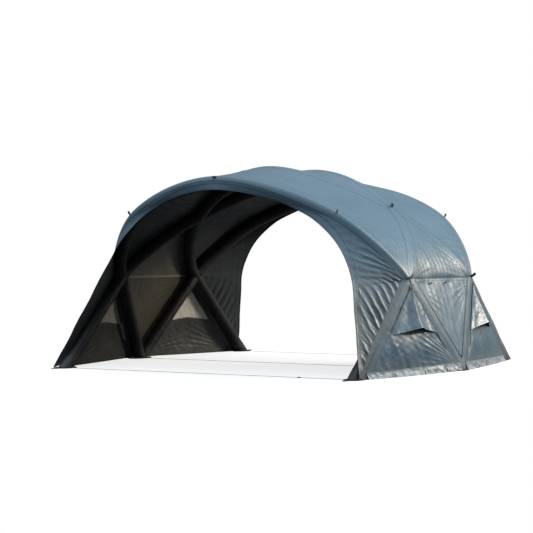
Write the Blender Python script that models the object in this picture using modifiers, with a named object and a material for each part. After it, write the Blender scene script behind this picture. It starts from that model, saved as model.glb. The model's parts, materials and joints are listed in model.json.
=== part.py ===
"""Inflatable lattice shelter: four leaning air arches under one sewn canopy.

Two long arches stand on the corner feet and lean across the middle, and two end arches stand on the
shared middle feet and lean out towards the open ends. They cross at four knees and two shoulders.
Metres, +Z up, +X to the right, front opening at -Y. The origin is on the ground under the middle.

Every arch is read by one parameter t: 0 left foot, 1 left knee, 2 left hip, 3 apex, 4 right hip,
5 right knee, 6 right foot. A canopy panel is the sheet between two arches at equal t.
"""

import math

import bmesh
import bpy
from mathutils import Matrix, Vector

# Air frame
TUBE_R = 0.078
CORNER_FOOT_Y = 2.165
# Outlines of foot, knee, hip and apex: (x, z) for the tubes, (x, y, z) for the visor's free edge.
LONG_ARCH = ((2.02, 0.0), (2.04, 1.115), (1.41, 1.925), (0.0, 2.45))
END_ARCH = ((2.35, 0.0), (2.04, 1.115), (1.345, 1.90), (0.0, 2.28))
KNEE_PULL = 0.5
SHOULDER_Z = LONG_ARCH[2][1]
KNEE_Z = LONG_ARCH[1][1]
LONG_LEAN = CORNER_FOOT_Y / SHOULDER_Z
END_LEAN = (CORNER_FOOT_Y - LONG_LEAN * KNEE_Z) / KNEE_Z
RING_STEP = 0.27          # spacing of a tube's rings round its bends
HUB_REACH = 0.115         # how far a shoulder hub runs along each arch, in t
HUB_GAP = 0.0015          # in t, between a hub and the tubes it joins
END_STEP = 0.02           # in t, the straight stretch that squares a tube's end
HUB_WALL = 0.003          # the hub's cuff over the tubes' radius
JOINT_GAP = 0.0006
KNEE_SETBACK = 0.03       # a tube that meets another at a knee stops this far short of its middle
KNEE_STRETCH = (0.80, 0.98, 1.10, 1.20)   # where the long tube passes through its knee, in t
FOOT_OVERRUN = 0.16       # tubes run this far under the ground before they are cut level

# Canopy
SKIN_GAP = 0.012          # between tube and canopy
SKIN_T = 0.004
SAG = 0.018               # of a panel's width
SEAM_GAP = 0.003
HEM_ARCH = ((2.135, 2.268, 0.0), (1.81, 1.803, 1.018), (1.203, 1.715, 1.864), (0.0, 1.97, 2.20))
DOOR_GAP = 0.006
DOOR_FOOT = 0.12          # in t, up the middle legs
DOOR_TOP = 0.985

# Feet and ground straps
PAD_T = 0.012
CORNER_PAD = (0.115, 0.175)
MID_PAD = (0.125, 0.215)
TONGUE = (0.026, 0.085)   # half width and length of the tie-out tongue
STRAP_W = 0.025
STRAP_T = 0.002
STRAP_Z = 0.0045
BUCKLE = (0.034, 0.037, 0.009)
BUCKLE_SLOT = (0.027, 0.0040)
BUCKLE_X = 1.30

# Vent hoods and their props
HOOD_T = 0.003
HOOD_LIFT = 0.115
HOOD_STAND = 0.007
HOOD_ROWS = (0.86, 0.42)  # t at the top and at the hem
HOOD_SPAN = (0.10, 0.92)  # across the wall, from the corner leg to the middle leg
HOOD_RISE = 0.07          # how far the hem climbs at the ridge, in t
PROP = (0.022, 0.006, 0.088)
PROP_STAND = 0.012

# Small moving parts
SLIDER_T = 0.006
SLIDER_AT = 0.17
SLIDER_INSET = 0.106
SMALL_STAND = 0.0025
TOGGLE_R = 0.008
TOGGLE_L = 0.055
TOGGLE_Y = (-0.39, 0.05)
TOGGLE_DROP = 0.045
VALVE_R = 0.024
VALVE_H = 0.016
VALVE_AT = 0.55
CAP_T = 0.007
RING_R = 0.024
RING_WIRE = 0.003
RING_GAP = 0.0025        # lets the square bar turn clear of the tongue

FRONT, BACK = -1, 1
LEFT, RIGHT = -1, 1


def clear_scene():
    for obj in list(bpy.data.objects):
        bpy.data.objects.remove(obj, do_unlink=True)


def make_collection(name):
    group = bpy.data.collections.new(name)
    bpy.context.scene.collection.children.link(group)
    return group


def material(name, colour, roughness, metallic=0.0):
    mat = bpy.data.materials.new(name)
    mat.use_nodes = True
    shader = mat.node_tree.nodes["Principled BSDF"]
    shader.inputs["Base Color"].default_value = (*colour, 1.0)
    shader.inputs["Roughness"].default_value = roughness
    shader.inputs["Metallic"].default_value = metallic
    return mat


# ---------------------------------------------------------------- arch curves

def hermite(p0, m0, p1, m1, u):
    a = 2 * u**3 - 3 * u**2 + 1
    b = u**3 - 2 * u**2 + u
    c = -2 * u**3 + 3 * u**2
    d = u**3 - u**2
    return a * p0 + b * m0 + c * p1 + d * m1


def bow(outline, t, pull=1.0):
    """A point on an arch's outline: a straight leg up to the knee, then a smooth bow to the apex.

    pull is how far the bow carries on along the leg above the knee.
    """
    mirrored = t > 3.0
    t = 6.0 - t if mirrored else t
    foot, knee, hip, apex = (Vector(p) for p in outline)
    leg = knee - foot
    level = Vector([-hip.x] + [0.0] * (len(hip) - 1))
    over_hip = (apex - knee) / 2
    starts = (leg, leg * pull, over_hip)
    stops = (leg, over_hip, level)
    points = (foot, knee, hip, apex)
    i = min(int(t), 2) if t > 0 else 0
    point = hermite(points[i], starts[i], points[i + 1], stops[i], t - i)
    if not mirrored:
        point.x = -point.x
    return point


def long_arch(end):
    """The arch whose feet are at this end; it leans over towards the other end."""
    def curve(t):
        x, z = bow(LONG_ARCH, t, KNEE_PULL)
        return Vector((x, end * (CORNER_FOOT_Y - LONG_LEAN * z), z))
    return curve


def end_arch(end):
    def curve(t):
        x, z = bow(END_ARCH, t, KNEE_PULL)
        return Vector((x, end * END_LEAN * z, z))
    return curve


def hem_arch(end):
    """The visor's free edge round the open end."""
    def curve(t):
        x, y, z = bow(HEM_ARCH, t)
        return Vector((x, end * y, z))
    return curve


def heading(curve, t, reach=0.01):
    return (curve(t + reach) - curve(t - reach)).normalized()


def panel_normal(curve, other, t):
    """Outward normal of the sheet from curve to other, at curve's edge."""
    at = curve(t)
    normal = heading(curve, t).cross(other(t) - at).normalized()
    outward = Vector((at.x, 0.0, 1.5 * max(at.z - 1.0, 0.0)))
    return normal if normal.dot(outward) > 0 else -normal


def crest(curve, one, two, t, stand=TUBE_R + SKIN_GAP):
    """The point over a tube where the sheets to its two neighbours meet, both clear of the tube."""
    n1 = panel_normal(curve, one, t)
    n2 = panel_normal(curve, two, t)
    middle = (n1 + n2).normalized()
    return curve(t) + middle * stand / max(middle.dot(n2), 0.75)


def leg_t(side, t):
    """t counted up from the foot on that side."""
    return t if side == LEFT else 6.0 - t


def leg_zone(t):
    return t < 1.0 or t > 5.0


def side_zone(t):
    return 1.0 <= t < 2.0 or 4.0 < t <= 5.0


def long_crest(end):
    def curve(t):
        if leg_zone(t):
            return crest(long_arch(end), hem_arch(end), end_arch(end), t)
        if side_zone(t):
            return crest(long_arch(end), end_arch(end), long_arch(-end), t)
        return crest(long_arch(end), long_arch(-end), end_arch(-end), t)
    return curve


def end_crest(end):
    def curve(t):
        if leg_zone(t):
            return crest(end_arch(end), long_arch(end), end_arch(-end), t)
        roof = long_arch(end) if side_zone(t) else long_arch(-end)
        return crest(end_arch(end), hem_arch(end), roof, t)
    return curve


def visor_crest(end):
    """The canopy crest that the visor hangs from: the corner legs, then the end arch between them."""
    def curve(t):
        return long_crest(end)(t) if leg_zone(t) else end_crest(end)(t)
    return curve


def roof_crest(end):
    """The inner edge of an end's roof panel: up the long arch from the knee, then along the ridge."""
    def curve(t):
        return long_crest(end)(t) if side_zone(t) else long_crest(-end)(t)
    return curve


def steps(start, stop, count):
    return [start + (stop - start) * i / count for i in range(count + 1)]


# ---------------------------------------------------------------- mesh helpers

def add_object(name, mesh, group, mat, at=(0.0, 0.0, 0.0), axes=None):
    """axes is (x, y, z) unit vectors of the object's own frame."""
    obj = bpy.data.objects.new(name, mesh)
    group.objects.link(obj)
    obj.location = at
    if axes:
        obj.rotation_euler = Matrix(axes).transposed().to_euler()
    if mat:
        mesh.materials.clear()
        mesh.materials.append(mat)
    return obj


def tube_mesh(points, radius, name):
    """A capped round tube along points, as a closed mesh."""
    data = bpy.data.curves.new(name + "_path", "CURVE")
    data.dimensions = "3D"
    data.bevel_depth = radius
    data.bevel_resolution = 2
    data.resolution_u = 1
    data.render_resolution_u = 0
    data.use_fill_caps = True
    spline = data.splines.new("POLY")
    spline.points.add(len(points) - 1)
    for spot, p in zip(spline.points, points):
        spot.co = (p.x, p.y, p.z, 1.0)
    holder = bpy.data.objects.new(name + "_path", data)
    bpy.context.scene.collection.objects.link(holder)
    bpy.context.view_layer.update()
    graph = bpy.context.evaluated_depsgraph_get()
    mesh = bpy.data.meshes.new_from_object(holder.evaluated_get(graph))
    bpy.data.objects.remove(holder)
    bpy.data.curves.remove(data)
    bm = bmesh.new()
    bm.from_mesh(mesh)
    bmesh.ops.remove_doubles(bm, verts=bm.verts, dist=0.0001)
    bmesh.ops.recalc_face_normals(bm, faces=bm.faces)
    bm.to_mesh(mesh)
    bm.free()
    mesh.name = name
    return mesh


def make_cutter(name, mesh, group):
    obj = bpy.data.objects.new(name, mesh)
    group.objects.link(obj)
    obj.hide_render = True
    obj.display_type = "WIRE"
    return obj


def boolean(obj, other, operation="DIFFERENCE"):
    cut = obj.modifiers.new(operation.title(), "BOOLEAN")
    cut.operation = operation
    cut.solver = "EXACT"
    cut.object = other


def arch_points(curve, start, stop, overrun=0.0):
    """Points from t = start to stop, with caps square to the curve. Legs are straight and need only ends."""
    points = []
    length = (curve(stop) - curve(start)).length
    count = max(2, round(length * 1.15 / RING_STEP))
    squared = [start, start + END_STEP] + steps(start, stop, count)[1:-1] + [stop - END_STEP, stop]
    for t in squared:
        if not leg_zone(t) or t == start:
            points.append(curve(t))
    if start < 1.0 < stop:
        points.insert(1, curve(1.0) - (points[1] - points[0]).normalized() * 0.02)
    if overrun:
        points[0] = points[0] - heading(curve, 0.5) * overrun
    return points


def sheet_mesh(name, edge_a, edge_b, rows, columns, gap, shape=None):
    """The grid between two edges at equal t. shape(a, b, s, t) shifts a point off the straight line."""
    bm = bmesh.new()
    grid = []
    for t in rows:
        a, b = edge_a(t), edge_b(t)
        across = (b - a).normalized()
        a, b = a + across * gap, b - across * gap
        line = []
        for s in steps(0.0, 1.0, columns):
            shift = shape(a, b, s, t) if shape else Vector()
            line.append(bm.verts.new(a.lerp(b, s) + shift))
        grid.append(line)
    for low, high in zip(grid, grid[1:]):
        for i in range(columns):
            bm.faces.new((low[i], low[i + 1], high[i + 1], high[i]))
    bmesh.ops.recalc_face_normals(bm, faces=bm.faces)
    bm.faces.ensure_lookup_table()
    middle = bm.faces[len(bm.faces) // 2]
    centre = middle.calc_center_median()
    if middle.normal.dot(Vector((centre.x, 0.0, centre.z - 0.6))) < 0:
        bmesh.ops.reverse_faces(bm, faces=bm.faces)
    mesh = bpy.data.meshes.new(name)
    bm.to_mesh(mesh)
    bm.free()
    return mesh


def thicken(obj, thickness):
    solid = obj.modifiers.new("Solidify", "SOLIDIFY")
    solid.thickness = thickness
    solid.offset = 1.0


def box_mesh(name, size):
    bm = bmesh.new()
    bmesh.ops.create_cube(bm, size=1.0)
    bmesh.ops.scale(bm, vec=size, verts=bm.verts)
    mesh = bpy.data.meshes.new(name)
    bm.to_mesh(mesh)
    bm.free()
    return mesh


def outline_mesh(name, loops, thickness):
    """A flat plate from closed outlines in its own XY plane; later loops are holes. Its base is at z = 0."""
    data = bpy.data.curves.new(name + "_outline", "CURVE")
    data.dimensions = "2D"
    data.fill_mode = "BOTH"
    data.extrude = thickness / 2
    data.render_resolution_u = 0
    for loop in loops:
        spline = data.splines.new("POLY")
        spline.points.add(len(loop) - 1)
        for spot, (x, y) in zip(spline.points, loop):
            spot.co = (x, y, 0.0, 1.0)
        spline.use_cyclic_u = True
    holder = bpy.data.objects.new(name + "_outline", data)
    bpy.context.scene.collection.objects.link(holder)
    bpy.context.view_layer.update()
    graph = bpy.context.evaluated_depsgraph_get()
    mesh = bpy.data.meshes.new_from_object(holder.evaluated_get(graph))
    bpy.data.objects.remove(holder)
    bpy.data.curves.remove(data)
    bm = bmesh.new()
    bm.from_mesh(mesh)
    bmesh.ops.remove_doubles(bm, verts=bm.verts, dist=0.00005)
    bmesh.ops.recalc_face_normals(bm, faces=bm.faces)
    bmesh.ops.translate(bm, verts=bm.verts, vec=(0.0, 0.0, thickness / 2))
    bm.to_mesh(mesh)
    bm.free()
    mesh.name = name
    return mesh


def ellipse(rx, ry, count, start=0.0, stop=2 * math.pi):
    return [(rx * math.cos(a), ry * math.sin(a)) for a in steps(start, stop, count)]


def turned(name, profile, sides, group, mat, at, axes):
    """A solid of revolution round its own Z from (radius, height) points, top to bottom."""
    mesh = bpy.data.meshes.new(name)
    mesh.from_pydata([(r, 0.0, z) for r, z in profile], [(i, i + 1) for i in range(len(profile) - 1)], [])
    obj = add_object(name, mesh, group, mat, at, axes)
    screw = obj.modifiers.new("Screw", "SCREW")
    screw.axis = "Z"
    screw.steps = sides
    screw.render_steps = sides
    screw.use_merge_vertices = True
    screw.merge_threshold = 0.00005
    screw.use_smooth_shade = False
    return obj


# ---------------------------------------------------------------- air frame

def box_cutter(name, low, high, group):
    """A cutter that fills the box between two corners."""
    low, high = Vector(low), Vector(high)
    mesh = box_mesh(name, high - low)
    mesh.transform(Matrix.Translation((low + high) / 2))
    return make_cutter(name, mesh, group)


def build_tubes(parts, cutters, mat):
    floor = PAD_T + JOINT_GAP
    ground = box_cutter("below_pads", (-3.0, -3.0, -1.0), (3.0, 3.0, floor), cutters)
    beyond_middle = {
        FRONT: box_cutter("behind_middle", (-3.0, -JOINT_GAP, -0.5), (3.0, 3.0, 0.8), cutters),
        BACK: box_cutter("before_middle", (-3.0, -3.0, -0.5), (3.0, JOINT_GAP, 0.8), cutters),
    }
    for end, end_name in ((FRONT, "front"), (BACK, "back")):
        for side, side_name in ((LEFT, "left"), (RIGHT, "right")):
            place = f"{end_name}_{side_name}"

            def corner(t, curve=long_arch(end), side=side):
                return curve(leg_t(side, t))
            points = arch_points(corner, 0.0, 2.0 - HUB_REACH - HUB_GAP, FOOT_OVERRUN)
            name = f"leg_tube_{place}"
            boolean(add_object(name, tube_mesh(points, TUBE_R, name), parts, mat), ground)
            passing = [corner(t) for t in KNEE_STRETCH]
            clear = tube_mesh(passing, TUBE_R + 2 * JOINT_GAP, f"knee_clearance_{place}")
            clear = make_cutter(clear.name, clear, cutters)

            foot, knee = end_arch(end)(leg_t(side, 0.0)), end_arch(end)(leg_t(side, 1.0))
            down = (foot - knee).normalized()
            name = f"mid_leg_tube_{place}"
            ends = [foot + down * FOOT_OVERRUN, knee + down * KNEE_SETBACK]
            leg = add_object(name, tube_mesh(ends, TUBE_R, name), parts, mat)
            for cutter in (ground, beyond_middle[end], clear):
                boolean(leg, cutter)

    for end, end_name in ((FRONT, "front"), (BACK, "back")):
        name = f"end_arch_tube_{end_name}"
        points = arch_points(end_arch(end), 1.0 + KNEE_SETBACK, 5.0 - KNEE_SETBACK)
        arch = add_object(name, tube_mesh(points, TUBE_R, name), parts, mat)
        for side_name in ("left", "right"):
            boolean(arch, cutters.objects[f"knee_clearance_{end_name}_{side_name}"])
        # The ridge arch nearest this end belongs to the long arch that stands on the other end's feet.
        name = f"ridge_arch_tube_{end_name}"
        reach = 2.0 + HUB_REACH + HUB_GAP
        points = arch_points(long_arch(-end), reach, 6.0 - reach)
        add_object(name, tube_mesh(points, TUBE_R, name), parts, mat)


def build_hubs(parts, cutters, mat):
    for side, side_name, centre in ((LEFT, "left", 2.0), (RIGHT, "right", 4.0)):
        name = f"shoulder_hub_{side_name}"
        arms = []
        for end in (FRONT, BACK):
            curve = long_arch(end)
            bends = (-HUB_REACH, END_STEP - HUB_REACH, 0.0, HUB_REACH - END_STEP, HUB_REACH)
            span = [curve(centre + t) for t in bends]
            arms.append(tube_mesh(span, TUBE_R + HUB_WALL, f"hub_arm_{end}"))
        hub = add_object(name, arms[0], parts, mat)
        boolean(hub, make_cutter(f"hub_arm_{side_name}", arms[1], cutters), "UNION")


# ---------------------------------------------------------------- canopy

def sagging(a, b, s, t):
    """A panel hangs a little inwards between its two edges."""
    middle = (a + b) / 2
    inward = Vector((-middle.x, 0.0, -1.3 * max(middle.z - 0.8, 0.0))).normalized()
    return inward * SAG * (b - a).length * 4 * s * (1 - s)


def visor_shape(end):
    """The visor rolls over the tube it hangs from before it drops to its free edge."""
    def shape(a, b, s, t):
        tube = long_arch(end) if leg_zone(t) else end_arch(end)
        along = heading(tube, t)
        reach = a.lerp(b, s) - tube(t)
        reach -= along * reach.dot(along)
        return reach.normalized() * max(TUBE_R + SKIN_GAP - reach.length, 0.0)
    return shape


def build_canopy(parts, mat):
    for end, end_name in ((FRONT, "front"), (BACK, "back")):
        hem = hem_arch(end)
        rows = steps(0.06, 0.98, 3) + steps(1.04, 4.96, 18) + steps(5.02, 5.94, 3)
        mesh = sheet_mesh(f"visor_{end_name}", visor_crest(end), hem, rows, 6, SEAM_GAP, visor_shape(end))
        thicken(add_object(mesh.name, mesh, parts, mat), SKIN_T)

        rows = steps(1.08, 1.97, 4) + steps(2.03, 3.97, 10) + steps(4.03, 4.92, 4)
        mesh = sheet_mesh(f"roof_panel_{end_name}", end_crest(end), roof_crest(end),
                          rows, 4, SEAM_GAP, sagging)
        thicken(add_object(mesh.name, mesh, parts, mat), SKIN_T)

        for side, side_name in ((LEFT, "left"), (RIGHT, "right")):
            rows = (0.05, 0.90) if side == LEFT else (5.10, 5.95)
            mesh = sheet_mesh(f"vent_wall_{end_name}_{side_name}", long_crest(end), end_crest(end),
                              rows, 1, SEAM_GAP)
            thicken(add_object(mesh.name, mesh, parts, mat), SKIN_T)

    rows = steps(2.12, 3.88, 10)
    mesh = sheet_mesh("ridge_panel", long_crest(FRONT), long_crest(BACK), rows, 4, SEAM_GAP, sagging)
    thicken(add_object(mesh.name, mesh, parts, mat), SKIN_T)

    for side, side_name in ((LEFT, "left"), (RIGHT, "right")):
        rows = [DOOR_TOP] + steps(1.08, 1.88, 4)
        mesh = sheet_mesh(f"side_panel_{side_name}", side_edge(side, FRONT), side_edge(side, BACK),
                          rows, 3, SEAM_GAP, sagging)
        thicken(add_object(mesh.name, mesh, parts, mat), SKIN_T)


def side_edge(side, end):
    """A side panel's edge, counted up from the knee; its lowest row lies along the top of the door."""
    def curve(t):
        if t == DOOR_TOP:
            return end_crest(end)(leg_t(side, t)) + Vector((0.0, 0.0, DOOR_GAP))
        return long_crest(end)(leg_t(side, t))
    return curve


def door_frame(side):
    """The door's hinge point, its outward normal and its outer corners, in world coordinates."""
    front, back = end_crest(FRONT), end_crest(BACK)
    top_front, top_back = front(leg_t(side, DOOR_TOP)), back(leg_t(side, DOOR_TOP))
    foot = front(leg_t(side, DOOR_FOOT))
    hinge = (top_front + top_back) / 2
    normal = (top_back - top_front).cross(foot - top_front).normalized()
    return hinge, normal if normal.x * side > 0 else -normal


def build_doors(parts, mat):
    for side, side_name in ((LEFT, "left"), (RIGHT, "right")):
        rows = [leg_t(side, t) for t in (DOOR_FOOT, DOOR_TOP)]
        mesh = sheet_mesh(f"door_{side_name}", end_crest(FRONT), end_crest(BACK), rows, 2, DOOR_GAP)
        hinge, _ = door_frame(side)
        mesh.transform(Matrix.Translation(-hinge))
        thicken(add_object(mesh.name, mesh, parts, mat, hinge), SKIN_T)


# ---------------------------------------------------------------- vents

def wall_axes(end, side):
    """A vent wall's outward normal and its two slanting edges."""
    corner, middle = long_crest(end), end_crest(end)
    low, high = leg_t(side, 0.1), leg_t(side, 0.8)
    normal = (middle(low) - corner(low)).cross(corner(high) - corner(low)).normalized()
    return (normal if normal.x * side > 0 else -normal), corner, middle


def wall_point(end, side, t, s, stand):
    normal, corner, middle = wall_axes(end, side)
    t = leg_t(side, t)
    return corner(t).lerp(middle(t), s) + normal * (SKIN_T + stand)


def build_vents(parts, hood_mat, prop_mat):
    for end, end_name in ((FRONT, "front"), (BACK, "back")):
        for side, side_name in ((LEFT, "left"), (RIGHT, "right")):
            place = f"{end_name}_{side_name}"
            normal, _, _ = wall_axes(end, side)
            top, hem = HOOD_ROWS

            def edge(s, end=end, side=side, top=top, hem=hem):
                def curve(row):
                    return wall_point(end, side, hem + (top - hem) * row, s, HOOD_STAND)
                return curve

            def lift(a, b, s, row, normal=normal, end=end, side=side):
                ridge = 1 - abs(2 * s - 1)
                climb = wall_point(end, side, HOOD_ROWS[1] + HOOD_RISE, 0.5, 0.0)
                climb = climb - wall_point(end, side, HOOD_ROWS[1], 0.5, 0.0)
                return (normal * HOOD_LIFT + climb) * ridge * (1 - row)
            mesh = sheet_mesh(f"vent_hood_{place}", edge(HOOD_SPAN[0]), edge(HOOD_SPAN[1]),
                              steps(0.0, 1.0, 3), 4, 0.0, lift)
            thicken(add_object(mesh.name, mesh, parts, hood_mat), HOOD_T)

            at, axes = prop_frame(end, side)
            bm = bmesh.new()
            bmesh.ops.create_cube(bm, size=1.0)
            bmesh.ops.scale(bm, vec=PROP, verts=bm.verts)
            bmesh.ops.translate(bm, vec=(0.0, 0.0, PROP[2] / 2 - PROP[1] / 2), verts=bm.verts)
            mesh = bpy.data.meshes.new(f"vent_prop_{place}")
            bm.to_mesh(mesh)
            bm.free()
            prop = add_object(mesh.name, mesh, parts, prop_mat, at, axes)
            bevel = prop.modifiers.new("Bevel", "BEVEL")
            bevel.width = 0.0015
            bevel.segments = 1


def prop_frame(end, side):
    """Pivot of a vent's prop, and its axes: X along the wall, Z out of the wall."""
    normal, _, _ = wall_axes(end, side)
    middle = sum(HOOD_SPAN) / 2
    at = wall_point(end, side, HOOD_ROWS[1] + HOOD_RISE + 0.005, middle, PROP_STAND)
    along = wall_point(end, side, 0.4, 0.9, 0.0) - wall_point(end, side, 0.4, 0.1, 0.0)
    along = (along - normal * along.dot(normal)).normalized()
    return at, (along, normal.cross(along), normal)


# ---------------------------------------------------------------- feet, straps and small parts

def build_feet(parts, mat):
    for side, side_name in ((LEFT, "left"), (RIGHT, "right")):
        mesh = outline_mesh(f"mid_foot_{side_name}", [ellipse(*MID_PAD, 24)[:-1]], PAD_T)
        add_object(mesh.name, mesh, parts, mat, (side * END_ARCH[0][0], 0.0, 0.0))
        for end, end_name in ((FRONT, "front"), (BACK, "back")):
            half, length = TONGUE
            rx, ry = CORNER_PAD
            cut = math.asin(half / rx)
            pad = ellipse(rx, ry, 22, -math.pi / 2 + cut, 1.5 * math.pi - cut)
            pad += [(-half, -ry - length), (half, -ry - length)]
            if end == BACK:
                pad = [(x, -y) for x, y in reversed(pad)]
            name = f"corner_foot_{end_name}_{side_name}"
            mesh = outline_mesh(name, [pad], PAD_T)
            add_object(name, mesh, parts, mat, (side * LONG_ARCH[0][0], end * CORNER_FOOT_Y, 0.0))


def ring_point(end, side):
    """Where a tie-out ring's straight bar turns, just past the foot's tongue."""
    y = CORNER_FOOT_Y + CORNER_PAD[1] + TONGUE[1] + RING_WIRE + RING_GAP
    return Vector((side * LONG_ARCH[0][0], end * y, PAD_T / 2))


def build_rings(parts, mat):
    for end, end_name in ((FRONT, "front"), (BACK, "back")):
        loop = ellipse(RING_R, 1.1 * RING_R, 12, 0.0, math.pi)
        outer = loop + [(-RING_R, -RING_WIRE), (RING_R, -RING_WIRE)]
        shrink = 1.0 - 2 * RING_WIRE / RING_R
        inner = [(x * shrink, y * shrink + RING_WIRE) for x, y in loop]
        for side, side_name in ((LEFT, "left"), (RIGHT, "right")):
            name = f"tie_out_ring_{end_name}_{side_name}"
            loops = [[(x, y * end) for x, y in loop] for loop in (outer, inner)]
            mesh = outline_mesh(name, loops, 2 * RING_WIRE)
            mesh.transform(Matrix.Translation((0.0, 0.0, -RING_WIRE)))
            add_object(name, mesh, parts, mat, ring_point(end, side))


def strap_ends():
    """(name, half length, y) of each ground strap."""
    return (("front", LONG_ARCH[0][0] - CORNER_PAD[0] - 0.002, -CORNER_FOOT_Y),
            ("middle", END_ARCH[0][0] - MID_PAD[0] - 0.002, 0.0),
            ("back", LONG_ARCH[0][0] - CORNER_PAD[0] - 0.002, CORNER_FOOT_Y))


def build_straps(parts, strap_mat, buckle_mat):
    for place, half, y in strap_ends():
        mesh = box_mesh(f"ground_strap_{place}", (2 * half, STRAP_W, STRAP_T))
        add_object(mesh.name, mesh, parts, strap_mat, (0.0, y, STRAP_Z))
        length, width, height = BUCKLE
        slot_w, slot_h = BUCKLE_SLOT
        rim = [(width / 2 * x, height / 2 * z) for x, z in ((-1, -1), (1, -1), (1, 1), (-1, 1))]
        slot = [(slot_w / 2 * x, slot_h / 2 * z) for x, z in ((-1, -1), (1, -1), (1, 1), (-1, 1))]
        mesh = outline_mesh(f"strap_buckle_{place}", [rim, slot], length)
        mesh.transform(Matrix.Translation((0.0, 0.0, -length / 2)))
        axes = (Vector((0.0, 1.0, 0.0)), Vector((0.0, 0.0, 1.0)), Vector((1.0, 0.0, 0.0)))
        add_object(mesh.name, mesh, parts, buckle_mat, (BUCKLE_X, y, STRAP_Z + 0.0005), axes)


def slider_frame(side):
    """Zip slider at the foot of the door's front edge; Y runs up the zip, Z out of the door."""
    _, normal = door_frame(side)
    front, back = end_crest(FRONT), end_crest(BACK)
    low, high = front(leg_t(side, SLIDER_AT)), front(leg_t(side, 0.8))
    up = (high - low).normalized()
    across = (back(leg_t(side, SLIDER_AT)) - low).normalized()
    at = low + across * (DOOR_GAP + SLIDER_INSET) + normal * (SKIN_T + SMALL_STAND)
    return at, (up.cross(normal), up, normal)


def build_sliders(parts, mat):
    body = [(-0.007, -0.006), (0.007, -0.006), (0.008, 0.010), (-0.008, 0.010)]
    tab = [(-0.004, -0.009), (-0.005, -0.034), (0.005, -0.034), (0.004, -0.009)]
    outline = tab + [body[1], body[2], body[3], body[0]]
    hole = [(x * 0.5, -0.028 + y) for x, y in ellipse(0.005, 0.0035, 8)[:-1]]
    for side, side_name in ((LEFT, "left"), (RIGHT, "right")):
        at, axes = slider_frame(side)
        mesh = outline_mesh(f"zip_slider_{side_name}", [outline, hole], SLIDER_T)
        add_object(mesh.name, mesh, parts, mat, at, axes)


def toggle_frame(side, y):
    """A door toggle's pivot: it turns about Z, out of the door; the barrel lies along X."""
    hinge, normal = door_frame(side)
    down = Vector((0.0, 1.0, 0.0)).cross(normal)
    down = down if down.z < 0 else -down
    at = hinge + Vector((0.0, y, 0.0)) + down * TOGGLE_DROP + normal * (SKIN_T + SMALL_STAND + TOGGLE_R)
    x_axis = Vector((0.0, 1.0, 0.0))
    return at, (x_axis, normal.cross(x_axis), normal)


def build_toggles(parts, mat):
    half = TOGGLE_L / 2
    groove = TOGGLE_R * 0.62
    profile = [(0.0, half), (TOGGLE_R * 0.8, half - 0.002), (TOGGLE_R, half - 0.006), (TOGGLE_R, 0.006),
               (groove, 0.003), (groove, -0.003), (TOGGLE_R, -0.006), (TOGGLE_R, 0.006 - half),
               (TOGGLE_R * 0.8, 0.002 - half), (0.0, -half)]
    for side, side_name in ((LEFT, "left"), (RIGHT, "right")):
        for y, place in zip(TOGGLE_Y, ("front", "back")):
            at, (along, up, out) = toggle_frame(side, y)
            turned(f"door_toggle_{place}_{side_name}", profile, 10, parts, mat, at, (up, out, along))


def valve_frame():
    """The valve sits on the inner side of the front right leg; Z points out of the tube."""
    leg = long_arch(FRONT)
    t = leg_t(RIGHT, VALVE_AT)
    along = heading(leg, t)
    out = Vector((-1.0, 0.0, 0.0))
    out = (out - along * out.dot(along)).normalized()
    return leg(t) + out * (TUBE_R + 0.001), (along, out.cross(along), out)


def build_valve(parts, mat):
    at, axes = valve_frame()
    profile = [(0.0, VALVE_H - 0.004), (VALVE_R * 0.6, VALVE_H - 0.004), (VALVE_R * 0.66, VALVE_H),
               (VALVE_R * 0.86, VALVE_H), (VALVE_R, VALVE_H - 0.004), (VALVE_R, 0.005),
               (VALVE_R * 1.45, 0.003), (VALVE_R * 1.45, 0.0), (0.0, 0.0)]
    turned("valve_body", profile, 20, parts, mat, at, axes)
    along, _, out = axes
    hinge = at + along * VALVE_R + out * (VALVE_H + 0.001 + CAP_T / 2)
    rim = [(x - VALVE_R, y) for x, y in ellipse(VALVE_R, VALVE_R, 20)[:-1]]
    mesh = outline_mesh("valve_cap", [rim], CAP_T)
    mesh.transform(Matrix.Translation((0.0, 0.0, -CAP_T / 2)))
    add_object("valve_cap", mesh, parts, mat, hinge, axes)


def main():
    clear_scene()
    parts = make_collection("air_shelter")
    cutters = make_collection("cutters")
    sleeve = material("tube_sleeve", (0.035, 0.038, 0.042), 0.75)
    canopy = material("canopy_fabric", (0.25, 0.33, 0.39), 0.55)
    webbing = material("black_webbing", (0.02, 0.02, 0.022), 0.8)
    plastic = material("black_plastic", (0.025, 0.025, 0.028), 0.4)
    steel = material("ring_steel", (0.35, 0.36, 0.38), 0.3, 1.0)
    build_tubes(parts, cutters, sleeve)
    build_hubs(parts, cutters, sleeve)
    build_canopy(parts, canopy)
    build_doors(parts, canopy)
    build_vents(parts, canopy, plastic)
    build_feet(parts, webbing)
    build_rings(parts, steel)
    build_straps(parts, webbing, plastic)
    build_sliders(parts, plastic)
    build_toggles(parts, plastic)
    build_valve(parts, plastic)


main()
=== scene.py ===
"""The look of the inflatable lattice shelter: sewn canopy, air tube sleeves, hoods, skirts and fittings.

Metres, +Z up, front opening at -Y. An arch is read by t: 0 left foot, 1 left knee, 2 left shoulder,
3 apex, then 4, 5, 6 down the right side. A canopy panel is the sheet between two arches at equal t.
"""

import json
import math
from collections import namedtuple

import bmesh
import bpy
import numpy as np
from mathutils import Matrix, Vector


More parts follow.
